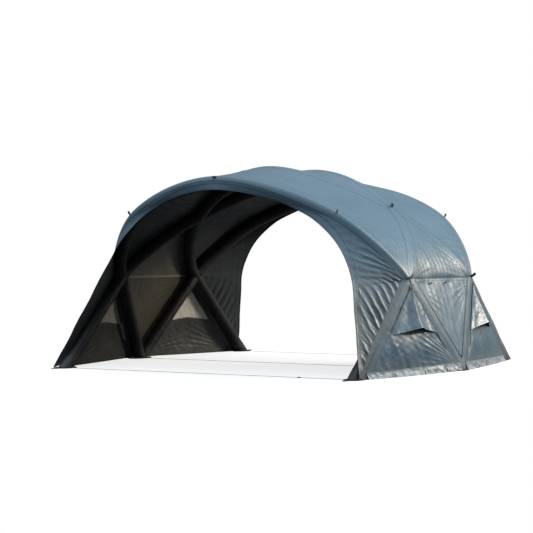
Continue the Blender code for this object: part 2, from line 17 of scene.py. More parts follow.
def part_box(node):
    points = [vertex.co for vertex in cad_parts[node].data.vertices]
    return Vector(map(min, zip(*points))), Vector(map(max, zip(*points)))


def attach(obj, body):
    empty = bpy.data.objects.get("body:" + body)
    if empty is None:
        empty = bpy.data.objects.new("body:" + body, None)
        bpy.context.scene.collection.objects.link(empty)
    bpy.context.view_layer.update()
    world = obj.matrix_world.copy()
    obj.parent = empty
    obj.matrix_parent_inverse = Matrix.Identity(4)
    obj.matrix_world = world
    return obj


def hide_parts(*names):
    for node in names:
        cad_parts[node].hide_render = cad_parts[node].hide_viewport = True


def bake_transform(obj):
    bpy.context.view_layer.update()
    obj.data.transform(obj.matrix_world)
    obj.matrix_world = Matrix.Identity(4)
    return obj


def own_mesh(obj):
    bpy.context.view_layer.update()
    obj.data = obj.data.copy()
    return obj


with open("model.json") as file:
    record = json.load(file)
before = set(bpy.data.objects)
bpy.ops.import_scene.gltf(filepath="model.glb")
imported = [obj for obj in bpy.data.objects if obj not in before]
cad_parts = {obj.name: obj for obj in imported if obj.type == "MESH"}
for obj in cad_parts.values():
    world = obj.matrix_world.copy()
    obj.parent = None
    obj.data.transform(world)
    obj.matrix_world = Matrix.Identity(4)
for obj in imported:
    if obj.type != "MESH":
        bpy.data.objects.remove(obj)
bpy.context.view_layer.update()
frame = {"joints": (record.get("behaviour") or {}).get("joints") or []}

JOINTS = {joint["name"]: joint for joint in frame["joints"]}

TAU = 2 * math.pi
FRONT, BACK = -1, 1
LEFT, RIGHT = -1, 1
ENDS = ((FRONT, "front"), (BACK, "back"))
SIDES = ((LEFT, "left"), (RIGHT, "right"))
CORNERS = [(end, side, f"{end_name}_{side_name}") for end, end_name in ENDS for side, side_name in SIDES]
CLOTH, WEB, HARD, STEEL_SLOT = "canopy_fabric", "black_webbing", "black_plastic", "ring_steel"

# The frame's outlines: (x, z) of foot, knee, shoulder and apex; (x, y, z) for the visor's free edge.
TUBE_R = 0.078
CORNER_Y = 2.165
LONG_ARCH = ((2.02, 0.0), (2.04, 1.115), (1.41, 1.925), (0.0, 2.45))
END_ARCH = ((2.35, 0.0), (2.04, 1.115), (1.345, 1.90), (0.0, 2.28))
KNEE_PULL = 0.5             # how far an arch carries on along its leg above the knee
HEM_ARCH = ((2.135, 2.268, 0.0), (1.81, 1.803, 1.018), (1.203, 1.715, 1.864), (0.0, 1.97, 2.20))
LONG_LEAN = CORNER_Y / LONG_ARCH[2][1]
END_LEAN = (CORNER_Y - LONG_LEAN * LONG_ARCH[1][1]) / LONG_ARCH[1][1]

CLOTH_R = TUBE_R + 0.012    # the canopy's radius where it rolls over a tube
CLOTH_T = 0.0014
SEAM = 0.115                # from a crest to the seam beside it
SEAM_EDGE = 0.001           # the strip over a crest ends this much before its seam
HEM_SEAMS = (0.024, 0.11)   # from a free edge
DOOR_ZIP = 0.113            # from a middle leg's crest to the zip beside it
ROW = 0.022                 # grid spacing
GROUND_GAP = 0.004

# Heights on a wall or door, as t counted up from the foot.
DOOR_TOP = 0.985
HOOD_HEM, HOOD_TOP = 0.42, 0.93
WINDOW_SEAM, WINDOW_TOP = 0.47, 0.90

Edge = namedtuple("Edge", "line crest radius")


# ------------------------------------------------------------------ numbers and curves

def unit(v):
    return v / np.maximum(np.linalg.norm(v, axis=-1, keepdims=True), 1e-12)


def dot(a, b):
    return (a * b).sum(-1)


def smooth(x, low, high):
    u = np.clip((x - low) / (high - low), 0.0, 1.0)
    return u * u * (3 - 2 * u)


def bump(x, centre, width):
    return np.exp(-((x - centre) / width) ** 2)


def lengths(line):
    """Distance along a line of points."""
    return np.concatenate(((0,), np.cumsum(np.linalg.norm(np.diff(line, axis=0), axis=1))))


def noise(p, size, seed, octaves=2):
    """Smooth wandering values in about -1..1 at points p, with features of the given size."""
    rng = np.random.default_rng(seed)
    total = np.zeros(p.shape[:-1])
    for octave in range(octaves):
        for _ in range(5):
            way = rng.normal(size=3)
            way = way / np.linalg.norm(way) * rng.uniform(0.7, 1.4)
            total += np.sin(p @ way * (TAU * 1.9**octave / (size * 2)) + rng.uniform(0, 6.28)) * 0.6**octave
    return total / 3.2


def wander(p, seed, *parts):
    """A sum of noises; parts are (amount, size) pairs."""
    return sum(amount * noise(p, size, seed + k) for k, (amount, size) in enumerate(parts))


def crease(phase, sharp=1.3):
    """A wave with narrow crests and broad hollows, mean about zero, height about one."""
    wave = np.exp((np.cos(phase) - 1) * sharp)
    low = math.exp(-2 * sharp)
    return (wave - low) / (1 - low) - 0.42


def profile(points, t, pull=1.0):
    t = np.asarray(t, float)
    u = np.where(t > 3, 6 - t, t)
    foot, knee, hip, apex = knots = np.array(points)
    leg, over = knee - foot, (apex - knee) / 2
    level = 0 * hip
    level[0] = -hip[0]
    starts, stops = np.array((leg, leg * pull, over)), np.array((leg, over, level))
    i = np.clip(np.floor(u).astype(int), 0, 2)
    w = (u - i)[..., None]
    point = ((2 * w**3 - 3 * w**2 + 1) * knots[i] + (w**3 - 2 * w**2 + w) * starts[i]
             + (3 * w**2 - 2 * w**3) * knots[i + 1] + (w**3 - w**2) * stops[i])
    point[..., 0] *= np.where(t > 3, 1.0, -1.0)
    return np.moveaxis(point, -1, 0)


def long_arch(end):
    """The arch with its feet at this end; it leans over towards the other end."""
    def line(t):
        x, z = profile(LONG_ARCH, t, KNEE_PULL)
        return np.stack((x, end * (CORNER_Y - LONG_LEAN * z), z), -1)
    return line


def end_arch(end):
    def line(t):
        x, z = profile(END_ARCH, t, KNEE_PULL)
        return np.stack((x, end * END_LEAN * z, z), -1)
    return line


def hem_arch(end):
    """The visor's free edge round the open end."""
    def line(t):
        x, y, z = profile(HEM_ARCH, t)
        return np.stack((x, end * y, z), -1)
    return line


def switch(t, *cases):
    """cases are (mask, values) pairs laid over one another."""
    out = np.zeros(np.shape(t) + (3,))
    for mask, values in cases:
        out = np.where(mask[..., None], values, out)
    return out


def zones(t):
    leg = (t < 1) | (t > 5)
    side = ((t >= 1) & (t < 2)) | ((t > 4) & (t <= 5))
    return leg, side, ~leg & ~side


def heading(line, t):
    return unit(line(t + 0.01) - line(t - 0.01))


def outwards(at):
    return np.stack((at[..., 0], 0 * at[..., 0], 1.5 * np.maximum(at[..., 2] - 1.0, 0)), -1)


def sheet_normal(line, other, t):
    """Outward normal, at line, of the sheet from line to other."""
    low = np.floor(np.clip(t, 0, 5.999))
    clear = np.clip(t, low + 0.02, low + 0.98)
    at = line(t)
    normal = unit(np.cross(heading(line, t), other(clear) - line(clear)))
    return normal * np.sign(dot(normal, outwards(at)))[..., None]


def raw_crest(kind, end, t):
    """Mean of the normals of the two sheets that meet over an arch."""
    long, far_long, near_end, far_end = long_arch(end), long_arch(-end), end_arch(end), end_arch(-end)
    hem = hem_arch(end)
    if kind == "long":
        line, pairs = long, ((hem, near_end), (near_end, far_long), (far_long, far_end))
    else:
        line, pairs = near_end, ((long, far_end), (hem, long), (hem, far_long))
    return switch(t, *((mask, unit(sheet_normal(line, one, t) + sheet_normal(line, two, t)))
                       for mask, (one, two) in zip(zones(t), pairs)))


def node_normal(node, end):
    """The canopy's normal over a crossing: 1 and 5 are knees, 2 and 4 are shoulders."""
    near = np.array((node - 0.12, node + 0.12))
    kinds = (("long", end), ("end", end)) if node in (1, 5) else (("long", FRONT), ("long", BACK))
    return unit(sum(raw_crest(kind, at, near).sum(0) for kind, at in kinds))


def crest(kind, end):
    """Direction from an arch's centre line to the canopy's crest over it."""
    def way(t):
        t = np.asarray(t, float)
        out = raw_crest(kind, end, t)
        for node in (1, 2, 4, 5) if kind == "long" else (1, 5):
            near = 1 - smooth(np.abs(t - node), 0.0, 0.16)
            out = unit(out * (1 - near[..., None]) + node_normal(node, end) * near[..., None])
        return out
    return way


def long_edge(end):
    return Edge(long_arch(end), crest("long", end), CLOTH_R)


def end_edge(end):
    return Edge(end_arch(end), crest("end", end), CLOTH_R)


def hem_edge(end):
    return Edge(hem_arch(end), lambda t: unit(outwards(hem_arch(end)(t))), 0.0)


def joined(*edges):
    """One edge made of three, by zone."""
    def mix(field):
        def value(t):
            t = np.asarray(t, float)
            return switch(t, *((mask, getattr(edge, field)(t)) for mask, edge in zip(zones(t), edges)))
        return value
    return Edge(mix("line"), mix("crest"), edges[0].radius)


def crest_point(edge, t):
    t = np.asarray(t, float)
    return edge.line(t) + edge.crest(t) * edge.radius


def centre_and_size(node):
    low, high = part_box(node)
    return (low + high) / 2, high - low


def leg_t(side, t):
    return t if side == LEFT else 6.0 - t


def leg_span(side, low, high):
    return sorted((leg_t(side, low), leg_t(side, high)))


def row_steps(start, stop, line, spacing=ROW):
    """Values of t from start to stop at an even spacing along line, with every whole number between."""
    knots = sorted({start, stop, *(k for k in range(1, 6) if start < k < stop)})
    rows = [knots[0]]
    for a, b in zip(knots, knots[1:]):
        fine = np.linspace(a, b, 60)
        length = lengths(line(fine))
        count = max(2, round(length[-1] / spacing))
        rows += list(np.interp(np.linspace(0, length[-1], count + 1), length, fine))[1:]
    return np.array(rows)


# ------------------------------------------------------------------ meshes

def grid_normals(points):
    return unit(np.cross(np.gradient(points, axis=0), np.gradient(points, axis=1)))


def turned_out(normals, points):
    return -normals if dot(normals, outwards(points)).sum() < 0 else normals


def add_piece(name, mesh, body, slot, stands_for=()):
    """Links a mesh as a piece that rides on a body and stands for some CAD nodes."""
    obj = bpy.data.objects.new(name, mesh)
    bpy.context.scene.collection.objects.link(obj)
    if body:
        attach(obj, body)
    if stands_for:
        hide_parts(*stands_for)
    return obj


def make_mesh(name, verts, faces, mats, which=None, attributes=None, smooth_angle=50, face_out=False):
    """which is each face's place in mats."""
    mesh = bpy.data.meshes.new(name)
    mesh.from_pydata(np.asarray(verts).tolist(), [], [list(map(int, f)) for f in faces])
    for mat in mats:
        mesh.materials.append(mat)
    if which is not None:
        mesh.polygons.foreach_set("material_index", np.asarray(which, np.int32))
    for key, values in (attributes or {}).items():
        mesh.attributes.new(key, "FLOAT", "POINT").data.foreach_set("value", np.asarray(values, np.float32))
    mesh.shade_smooth()
    mesh.set_sharp_from_angle(angle=math.radians(smooth_angle))
    mesh.validate()
    if face_out:
        mend(mesh)
    return mesh


def mend(mesh, weld=0.0):
    bm = bmesh.new()
    bm.from_mesh(mesh)
    if weld:
        bmesh.ops.remove_doubles(bm, verts=bm.verts, dist=weld)
    bmesh.ops.recalc_face_normals(bm, faces=bm.faces)
    bm.to_mesh(mesh)
    bm.free()


def shell(name, points, mats, masks, body="shelter", slot=CLOTH, stands_for=(), thickness=CLOTH_T, outward=None):
    """A thin closed sheet from a grid of points, outer face first. mats is (outer, inner)."""
    rows, cols = points.shape[:2]
    normals = grid_normals(points)
    guide = outwards(points) if outward is None else np.broadcast_to(outward, points.shape)
    flip = dot(normals, guide).sum() < 0
    if flip:
        normals = -normals
    count = rows * cols
    verts = np.concatenate((points.reshape(-1, 3), (points - normals * thickness).reshape(-1, 3)))
    index = np.arange(count).reshape(rows, cols)
    a, b, c, d = index[:-1, :-1], index[:-1, 1:], index[1:, 1:], index[1:, :-1]
    quads = np.stack((a, d, c, b) if not flip else (a, b, c, d), -1).reshape(-1, 4)
    rim = np.concatenate((index[0], index[1:, -1], index[-1, -2::-1], index[-2:0:-1, 0]))
    nxt = np.roll(rim, -1)
    side = np.stack((rim, nxt, nxt + count, rim + count) if not flip
                    else (nxt, rim, rim + count, nxt + count), -1)
    # Face winding is checked against the normals, so that outer faces look outwards.
    mid = len(quads) // 2
    e1, e2 = verts[quads[mid, 1]] - verts[quads[mid, 0]], verts[quads[mid, 3]] - verts[quads[mid, 0]]
    if np.dot(np.cross(e1, e2), normals.reshape(-1, 3)[quads[mid, 0]]) < 0:
        quads, side = quads[:, ::-1], side[:, ::-1]
    faces = np.concatenate((quads, quads[:, ::-1] + count, side))
    doubled = {key: np.tile(np.asarray(value, float).ravel(), 2) for key, value in masks.items()}
    which = np.repeat((0, 1, 0), (len(quads), len(quads), len(side)))
    return add_piece(name, make_mesh(name, verts, faces, mats, which, doubled), body, slot, stands_for)


def plain_masks(seam, along, across):
    return dict(seam=seam, along=along, across=across, strip=0 * seam, mesh=0 * seam)


def ribbon(name, line, up, width, thickness, mat, slot=WEB, wave=0.0, seed=0, stands_for=()):
    """A flat tape along a line; up is the way its face looks, one vector or one for each point."""
    up = np.broadcast_to(np.asarray(up, float), line.shape)
    head = unit(np.gradient(line, axis=0))
    side = unit(np.cross(up, head))
    up = unit(np.cross(head, side))
    u = np.linspace(-0.5, 0.5, 5)[None, :, None]
    points = line[:, None] + side[:, None] * u * width + up[:, None] * (1 - (2 * u) ** 2) * thickness * 0.5
    if wave:
        points = points + up[:, None] * (wave * noise(points, 0.12, seed))[..., None]
    across = u[..., 0] * width + 0 * line[:, :1]
    masks = plain_masks(width / 2 - np.abs(across) + 0.001, lengths(line)[:, None] + 0 * across, across)
    shell(name, points, (mat, mat), masks, "shelter", slot, stands_for, thickness, up[:, None])


def ring_quads(index):
    nxt = np.roll(index, -1, axis=1)
    return np.stack((index[:-1], nxt[:-1], nxt[1:], index[1:]), -1).reshape(-1, 4).tolist()


def ring_faces(index, first, last):
    """Quads between rings of points, with a fan at each end."""
    return ring_quads(index) + [(tip, b, a) for tip, ring in ((first, index[0]), (last, index[-1][::-1]))
                                for a, b in zip(ring, np.roll(ring, -1))]


def curve_mesh(name, data, cyclic, lines, kind, mat):
    """The mesh of a curve with one spline for each list of points."""
    for line in lines:
        spline = data.splines.new(kind)
        spline.points.add(len(line) - 1)
        for spot, p in zip(spline.points, line):
            spot.co = (*p, 1.0) if len(p) == 3 else (*p, 0.0, 1.0)
        spline.use_cyclic_u = cyclic
        if kind == "NURBS":
            spline.use_endpoint_u = not cyclic
            spline.order_u = 4
            spline.resolution_u = 5
    holder = bpy.data.objects.new(name + "_path", data)
    bpy.context.scene.collection.objects.link(holder)
    bpy.context.view_layer.update()
    mesh = bpy.data.meshes.new_from_object(holder.evaluated_get(bpy.context.evaluated_depsgraph_get()))
    bpy.data.objects.remove(holder)
    mesh.materials.clear()
    mesh.materials.append(mat)
    return mesh


SEAM_COLUMNS = np.array((0, .004, .014, .028, .045, .065, .085, .1, .108, .112, .115, .118, .122, .13))
HEM_COLUMNS = np.array((0, .003, .012, .021, .024, .027, .038, .055, .08, .1, .107, .11, .113, .125))


def roll_off(edge, other, t, ahead):
    """How a sheet rolls off one tube: the crest, the way inwards and the angle it turns through."""
    up, head = edge.crest(t), heading(edge.line, t)
    into = unit(np.cross(head, up))
    into = into * np.sign(dot(into, ahead))[:, None]
    normal = sheet_normal(edge.line, other.line, t)
    for node in (1, 5):
        near = np.abs(t - node)
        if (near < 0.12).any():
            sides = sheet_normal(edge.line, other.line, np.array((node - 0.12, node + 0.12)))
            share = (1 - smooth(near, 0.0, 0.12))[:, None]
            normal = unit(normal * (1 - share) + unit(sides.sum(0)) * share)
    angle = np.arctan2(np.maximum(dot(normal, into), 0), np.maximum(dot(normal, up), 1e-3))
    if not other.radius:
        reach = ahead - head * dot(ahead, head)[:, None]
        angle = angle + np.arcsin(np.clip(edge.radius / np.linalg.norm(reach, axis=1), 0, 0.95))
    elif edge.radius:
        width = np.linalg.norm(ahead, axis=1)
        angle = np.minimum(angle, np.arcsin(np.clip(0.42 * width / edge.radius, 0, 1)))
    return up, into, angle


def on_tube(x, radius, up, into, angle):
    return x + radius * (np.cos(angle)[..., None] * up + np.sin(angle)[..., None] * into)


def cross_sections(edge_a, edge_b, t, spacing=ROW, sag=0.0, limit=None):
    """A panel's grid, rows along t and columns from crest to crest.

    limit(total) gives the only stretch to keep, as two distances from the first crest.
    """
    xa, xb = edge_a.line(t), edge_b.line(t)
    roll_a, roll_b = roll_off(edge_a, edge_b, t, xb - xa), roll_off(edge_b, edge_a, t, xa - xb)
    pa, pb = on_tube(xa, edge_a.radius, *roll_a), on_tube(xb, edge_b.radius, *roll_b)
    la, lb = edge_a.radius * roll_a[2], edge_b.radius * roll_b[2]
    middle = np.linalg.norm(pb - pa, axis=1)
    total = la + middle + lb
    near_b = SEAM_COLUMNS if edge_b.radius else HEM_COLUMNS
    ka = np.minimum(1, 0.45 * total / SEAM_COLUMNS[-1])[:, None]
    kb = np.minimum(1, 0.45 * total / near_b[-1])[:, None]
    total = total[:, None]
    if limit is None:
        start, stop = SEAM_COLUMNS[-1] * ka, total - near_b[-1] * kb
        share = np.linspace(0, 1, max(3, round((total.max() - 0.26) / spacing)) + 1)[None, 1:-1]
        dist = np.concatenate((SEAM_COLUMNS * ka, start + (stop - start) * share, total - (near_b * kb)[:, ::-1]),
                              axis=1)
    else:
        low, high = limit(total)
        share = np.linspace(0, 1, max(3, round((high - low).max() / spacing)))[None]
        dist = low + (high - low) * share
    across = np.clip((dist - la[:, None]) / np.maximum(middle, 1e-6)[:, None], 0, 1)
    points = pa[:, None] + (pb - pa)[:, None] * across[..., None]
    inward = -unit(outwards((pa + pb) / 2) + np.array((0, 0, 1e-4)))
    points = points + inward[:, None] * (sag * middle[:, None] * 4 * across * (1 - across))[..., None]
    for x, edge, (up, into, angle), back in ((xa, edge_a, roll_a, dist), (xb, edge_b, roll_b, total - dist)):
        if edge.radius:
            turn = np.minimum(back / edge.radius, angle[:, None])
            over = back < (edge.radius * angle)[:, None]
            arc = on_tube(x[:, None], edge.radius, up[:, None], into[:, None], turn)
            points = np.where(over[..., None], arc, points)
    wide = dict(low=np.minimum(t, 6 - t), total=total[:, 0], along=lengths((xa + xb) / 2), along_a=lengths(xa))
    return dict(points=points, dist=dist, ea=dist / ka, eb=(total - dist) / kb, hem=edge_b.radius == 0,
                **{key: np.broadcast_to(value[:, None], dist.shape) for key, value in wide.items()})


def raise_folds(grid, height):
    """Shifts a panel's points along its outward normal."""
    points = grid["points"]
    normals = turned_out(grid_normals(points), points)
    # The normals are evened out, so that folds do not cross at tight bends.
    for _ in range(3):
        padded = np.pad(normals, ((1, 1), (1, 1), (0, 0)), mode="edge")
        normals = unit(padded[:-2, 1:-1] + padded[2:, 1:-1] + padded[1:-1, :-2] + padded[1:-1, 2:] + normals)
    grid["points"] = points + normals * height[..., None]


def fan(p, corner, tip, over, pitch, spread, reach, seed, start=0.03):
    """Folds that fan out of a corner, counted in radians from its tip round towards over.

    pitch is in radians; spread is (low, high).
    """
    axis = unit(tip - corner)
    side = over - corner
    side = unit(side - axis * dot(side, axis))
    away = p - corner
    x, y = away @ axis, away @ side
    radius, angle = np.hypot(x, y), np.arctan2(y, x)
    wave = crease(TAU * angle / pitch + wander(p, seed, (0.9, 0.5), (0.35, 0.16)))
    low, high = spread
    edge = smooth(angle, low, low + 0.12) * (1 - smooth(angle, high - 0.25, high))
    far = 1 - smooth(radius, 0.45 * reach, reach)
    thin = np.clip(radius * pitch / 0.07, 0, 1)
    patchy = 0.65 + 0.5 * noise(np.stack((angle * 2, radius * 0.7, 0 * angle), -1), 1.0, seed + 2)
    return wave * edge * far * thin * smooth(radius, start, start + 0.06) * patchy


def seams(grid):
    """(distance from an edge, where its seam lies) for each seam of a panel."""
    return [(grid["ea"], SEAM)] + [(grid["eb"], seam) for seam in (HEM_SEAMS if grid["hem"] else (SEAM,))]


def common_folds(grid, seed, amount=0.0016):
    """Slack, puckers along the seams, the raised seams themselves and a little waviness."""
    p = grid["points"]
    inside = smooth(grid["ea"], 0.06, 0.16) * (1.0 if grid["hem"] else smooth(grid["eb"], 0.06, 0.16))
    height = amount * inside * (noise(p, 0.32, seed) + 0.5 * noise(p, 0.11, seed + 3))
    pucker = np.sin(TAU * grid["along"] / 0.034 + 2.5 * noise(p, 0.2, seed + 5))
    for e, seam in seams(grid):
        height = height + 0.0011 * bump(e, seam, 0.004) - 0.0007 * bump(e, seam + 0.011, 0.006)
        height = height + 0.0009 * pucker * bump(e, seam + 0.014, 0.016)
    return height


def ruling_folds(grid, pitch, tilt, seed):
    """Folds that run from edge to edge."""
    place = grid["along_a"] + tilt * grid["dist"]
    return crease(TAU * place / pitch + wander(grid["points"], seed, (1.5, 0.45), (0.5, 0.17)))


def slant_folds(p, place, pitch, seed):
    """Long folds, one for every pitch of place."""
    return crease(TAU * place / pitch + wander(p, seed, (0.9, 0.8), (0.35, 0.22)), 1.6)


def panel_masks(grid):
    """How far each point is from the nearest seam, and whether it lies in a crest's strip."""
    strip = (grid["ea"] < SEAM - SEAM_EDGE).astype(float)
    if not grid["hem"]:
        strip = np.maximum(strip, grid["eb"] < SEAM - SEAM_EDGE)
    return dict(seam=np.min([np.abs(e - seam) for e, seam in seams(grid)], axis=0), strip=strip,
                along=grid["along"], across=grid["dist"], mesh=0 * grid["dist"])


# ------------------------------------------------------------------ materials

class Graph:
    """A Principled material and short ways to add nodes to it."""

    def __init__(self, name, roughness=0.5, metallic=0.0):
        self.mat = bpy.data.materials.new(name)
        self.mat.use_nodes = True
        self.tree = self.mat.node_tree
        self.shader = self.tree.nodes["Principled BSDF"]
        self.finish(Roughness=roughness, Metallic=metallic)

    def put(self, socket, value):
        if isinstance(value, bpy.types.NodeSocket):
            self.tree.links.new(value, socket)
        else:
            colour = isinstance(value, tuple) and len(value) == 3 and socket.type == "RGBA"
            socket.default_value = (*value, 1.0) if colour else value

    def node(self, kind, out=0, settings=None, **inputs):
        """inputs go by name, or by number as i0, i1 and so on."""
        node = self.tree.nodes.new("ShaderNode" + kind)
        for key, value in (settings or {}).items():
            setattr(node, key, value)
        for key, value in inputs.items():
            self.put(node.inputs[int(key[1:]) if key[1:].isdigit() else key.replace("_", " ")], value)
        return node.outputs[out]

    def finish(self, **inputs):
        for key, value in inputs.items():
            self.put(self.shader.inputs[key.replace("_", " ")], value)
        return self.mat

    def math(self, operation, a, b=0.0, c=0.0, clamp=False):
        return self.node("Math", 0, {"operation": operation, "use_clamp": clamp}, i0=a, i1=b, i2=c)

    def times(self, a, b):
        return self.math("MULTIPLY", a, b)

    def mix(self, share, a, b):
        return self.node("Mix", 2, {"data_type": "RGBA", "blend_type": "MIX"}, i0=share, i6=a, i7=b)

    def noise(self, scale, detail, distortion=0.0):
        return self.node("TexNoise", Vector=self.node("TexCoord", 3), Scale=scale, Detail=detail, Roughness=0.55,
                         Distortion=distortion)

    def attribute(self, name):
        return self.node("Attribute", 2, {"attribute_name": name})

    def ramp(self, value, low, high, to_low=0.0, to_high=1.0):
        return self.node("MapRange", 0, {"interpolation_type": "SMOOTHSTEP"}, Value=value, From_Min=low,
                         From_Max=high, To_Min=to_low, To_Max=to_high)

    def patches(self, scale, detail, *span, distortion=0.0):
        return self.ramp(self.noise(scale, detail, distortion), *span)

    def height(self):
        return self.node("SeparateXYZ", 2, Vector=self.node("TexCoord", 3))

    def every(self, way, pitch, width):
        """Bands across a way, one in each pitch."""
        return self.math("COMPARE", self.math("FRACT", self.math("DIVIDE", way, pitch)), 0.5, width)

    def weave(self, pitch, width):
        """A square grid of threads, with the way along it."""
        ways = self.attribute("along"), self.attribute("across")
        return self.math("MAXIMUM", *(self.every(way, pitch, width) for way in ways)), ways[0]

    def stitches(self, along, seam, pitch):
        return self.times(self.every(along, pitch, 0.3), self.ramp(seam, 0.0008, 0.0018, 1.0, 0.0))

    def dust(self, base, low, high, amount, colour):
        level = self.math("ADD", self.height(), self.times(self.noise(9.0, 4), 0.12))
        return self.mix(self.ramp(level, low, high, amount, 0.0), base, colour)

    def bump(self, height, distance, strength, **normal):
        return self.node("Bump", Height=height, Distance=distance, Strength=strength, **normal)

    def crinkled(self, coarse, fine, share, distance, strength, relief, depth):
        """Crinkles with threads and stitches on top; coarse and fine are noises."""
        crinkle = self.math("ADD", coarse, self.times(fine, share))
        return self.bump(relief, depth, 0.8, Normal=self.bump(crinkle, distance, strength))


def shade_of(colour, factor):
    return tuple(min(1.0, c * factor) for c in colour)


def cloth_material(name, colour, roughness=0.46, strip=1.0, dusty=0.25, sheen=0.12, seams=True, specular=0.42,
                   window_light_and_shade=None, low_shade=0.0):
    """Coated ripstop: a fine square grid of threads, seams with stitches, slow colour drift, dust low down.

    The strip factor paints light on the crest strips. The window colour is painted light shining through the mesh
    windows; without it they are near-black, partly the mesh's own colour and partly painted shade. The low-shade
    amount greys the cloth towards its foot as painted shade.
    """
    g = Graph(name)
    drift = g.patches(1.1, 4, 0.3, 0.7)
    base = g.mix(drift, shade_of(colour, 0.9), shade_of(colour, 1.1))
    base = g.mix(g.times(g.patches(26.0, 5, 0.3, 0.75), 0.10), base, shade_of(colour, 0.6))
    threads, along = g.weave(0.0055, 0.07)
    base = g.mix(g.times(threads, 0.16), base, shade_of(colour, 1.6))
    relief = g.times(threads, 0.3)
    rough = g.patches(5.0, 4, 0.25, 0.75, roughness - 0.06, roughness + 0.07)
    if seams:
        seam = g.attribute("seam")
        # Where the strip factor is above one, the crest strips are lightened: painted light catching the strips over
        # the tubes.
        band = g.mix(drift, shade_of(colour, 0.95 * strip), shade_of(colour, 1.08 * strip))
        base = g.mix(g.times(g.attribute("strip"), 0.8), base, band)
        # Painted shadow: a dark line along each seam for the shade in its crease.
        base = g.mix(g.ramp(seam, 0.0045, 0.0095, 0.78, 0.0), base, shade_of(colour, 0.22))
        stitch = g.stitches(along, seam, 0.0055)
        base = g.mix(g.times(stitch, 0.7), base, shade_of(colour, 1.7))
        relief = g.math("ADD", relief, g.times(stitch, 1.5))
    # The mesh windows: on the linings, a painted light shining through them; left unset, a near-black that is partly
    # the mesh's own colour and partly painted shade seen through it.
    painted_window_mask = g.attribute("mesh")
    base = g.mix(painted_window_mask, base, window_light_and_shade or (0.012, 0.013, 0.014))
    if window_light_and_shade is None:
        rough = g.math("ADD", rough, g.times(painted_window_mask, 0.3), clamp=True)
    # Painted shade: the cloth greys towards its foot, standing for the dimmer light low down.
    base = g.mix(g.ramp(g.height(), 0.6, 1.8, low_shade, 0.0), base, (0.078, 0.090, 0.092))
    base = g.dust(base, 0.06, 0.34, dusty, (0.33, 0.30, 0.25))
    normal = g.crinkled(g.noise(11.0, 5, 0.6), g.noise(48.0, 4), 0.22, 0.006, 0.55, relief, 0.00025)
    return g.finish(Base_Color=base, Roughness=rough, Normal=normal, Sheen_Weight=sheen, Sheen_Roughness=0.4,
                    Specular_IOR_Level=specular)


def sleeve_material(name, colour, roughness=0.5):
    """The black sleeve over an air tube: a tight plain weave, wrinkled where the tube bends."""
    g = Graph(name)
    base = g.mix(g.patches(3.0, 4, 0.3, 0.7), shade_of(colour, 0.75), shade_of(colour, 1.45))
    threads, along = g.weave(0.008, 0.08)
    base = g.mix(g.times(threads, 0.35), base, shade_of(colour, 3.2))
    seam = g.attribute("seam")
    base = g.mix(g.ramp(seam, 0.003, 0.007, 0.75, 0.0), base, shade_of(colour, 0.35))
    stitch = g.stitches(along, seam, 0.006)
    base = g.dust(g.mix(stitch, base, shade_of(colour, 4.5)), 0.05, 0.3, 0.3, (0.22, 0.20, 0.17))
    relief = g.math("ADD", threads, stitch)
    normal = g.crinkled(g.noise(20.0, 5, 0.8), g.noise(70.0, 3), 0.2, 0.005, 0.5, relief, 0.0003)
    rough = g.patches(6.0, 4, 0.25, 0.75, roughness - 0.07, roughness + 0.09)
    return g.finish(Base_Color=base, Roughness=rough, Normal=normal, Sheen_Weight=0.04, Sheen_Roughness=0.45)


def webbing_material(name, colour, pitch=260.0):
    """Woven tape: a herringbone of coarse threads, frayed and greyed a little."""
    g = Graph(name)
    place = g.node("TexCoord", 3)
    threads = g.node("TexWave", 1, {"wave_type": "BANDS", "bands_direction": "DIAGONAL"}, Vector=place,
                     Scale=pitch, Distortion=1.2, Detail=2.0)
    cross = g.node("TexWave", 1, {"wave_type": "BANDS", "bands_direction": "X"}, Vector=place,
                   Scale=pitch * 0.6, Distortion=0.6)
    weave = g.times(threads, g.math("ADD", g.times(cross, 0.5), 0.5))
    base = g.mix(g.patches(14.0, 5, 0.3, 0.72), shade_of(colour, 0.7), shade_of(colour, 1.5))
    base = g.mix(g.times(weave, 0.5), base, shade_of(colour, 2.2))
    base = g.mix(g.patches(60.0, 4, 0.55, 0.8, 0.0, 0.25), base, (0.2, 0.19, 0.17))
    return g.finish(Base_Color=base, Roughness=g.patches(30.0, 3, 0.2, 0.8, 0.68, 0.9),
                    Normal=g.bump(weave, 0.0006, 0.8), Sheen_Weight=0.2)


def moulded_material(name, colour, roughness=0.38, metallic=0.0):
    """Moulded or forged: faint grain, scuffs and duller worn patches."""
    g = Graph(name, roughness, metallic)
    base = g.mix(g.patches(12.0, 5, 0.3, 0.75), shade_of(colour, 0.8), shade_of(colour, 1.3))
    scuff = g.patches(110.0, 6, 0.6, 0.78, 0.0, 0.5, distortion=1.5)
    rough = g.math("ADD", g.patches(40.0, 4, 0.2, 0.8, roughness - 0.08, roughness + 0.12),
                   g.times(scuff, 0.25), clamp=True)
    return g.finish(Base_Color=g.mix(scuff, base, shade_of(colour, 2.4)), Roughness=rough,
                    Normal=g.bump(g.noise(420.0, 3), 0.0002, 0.5))


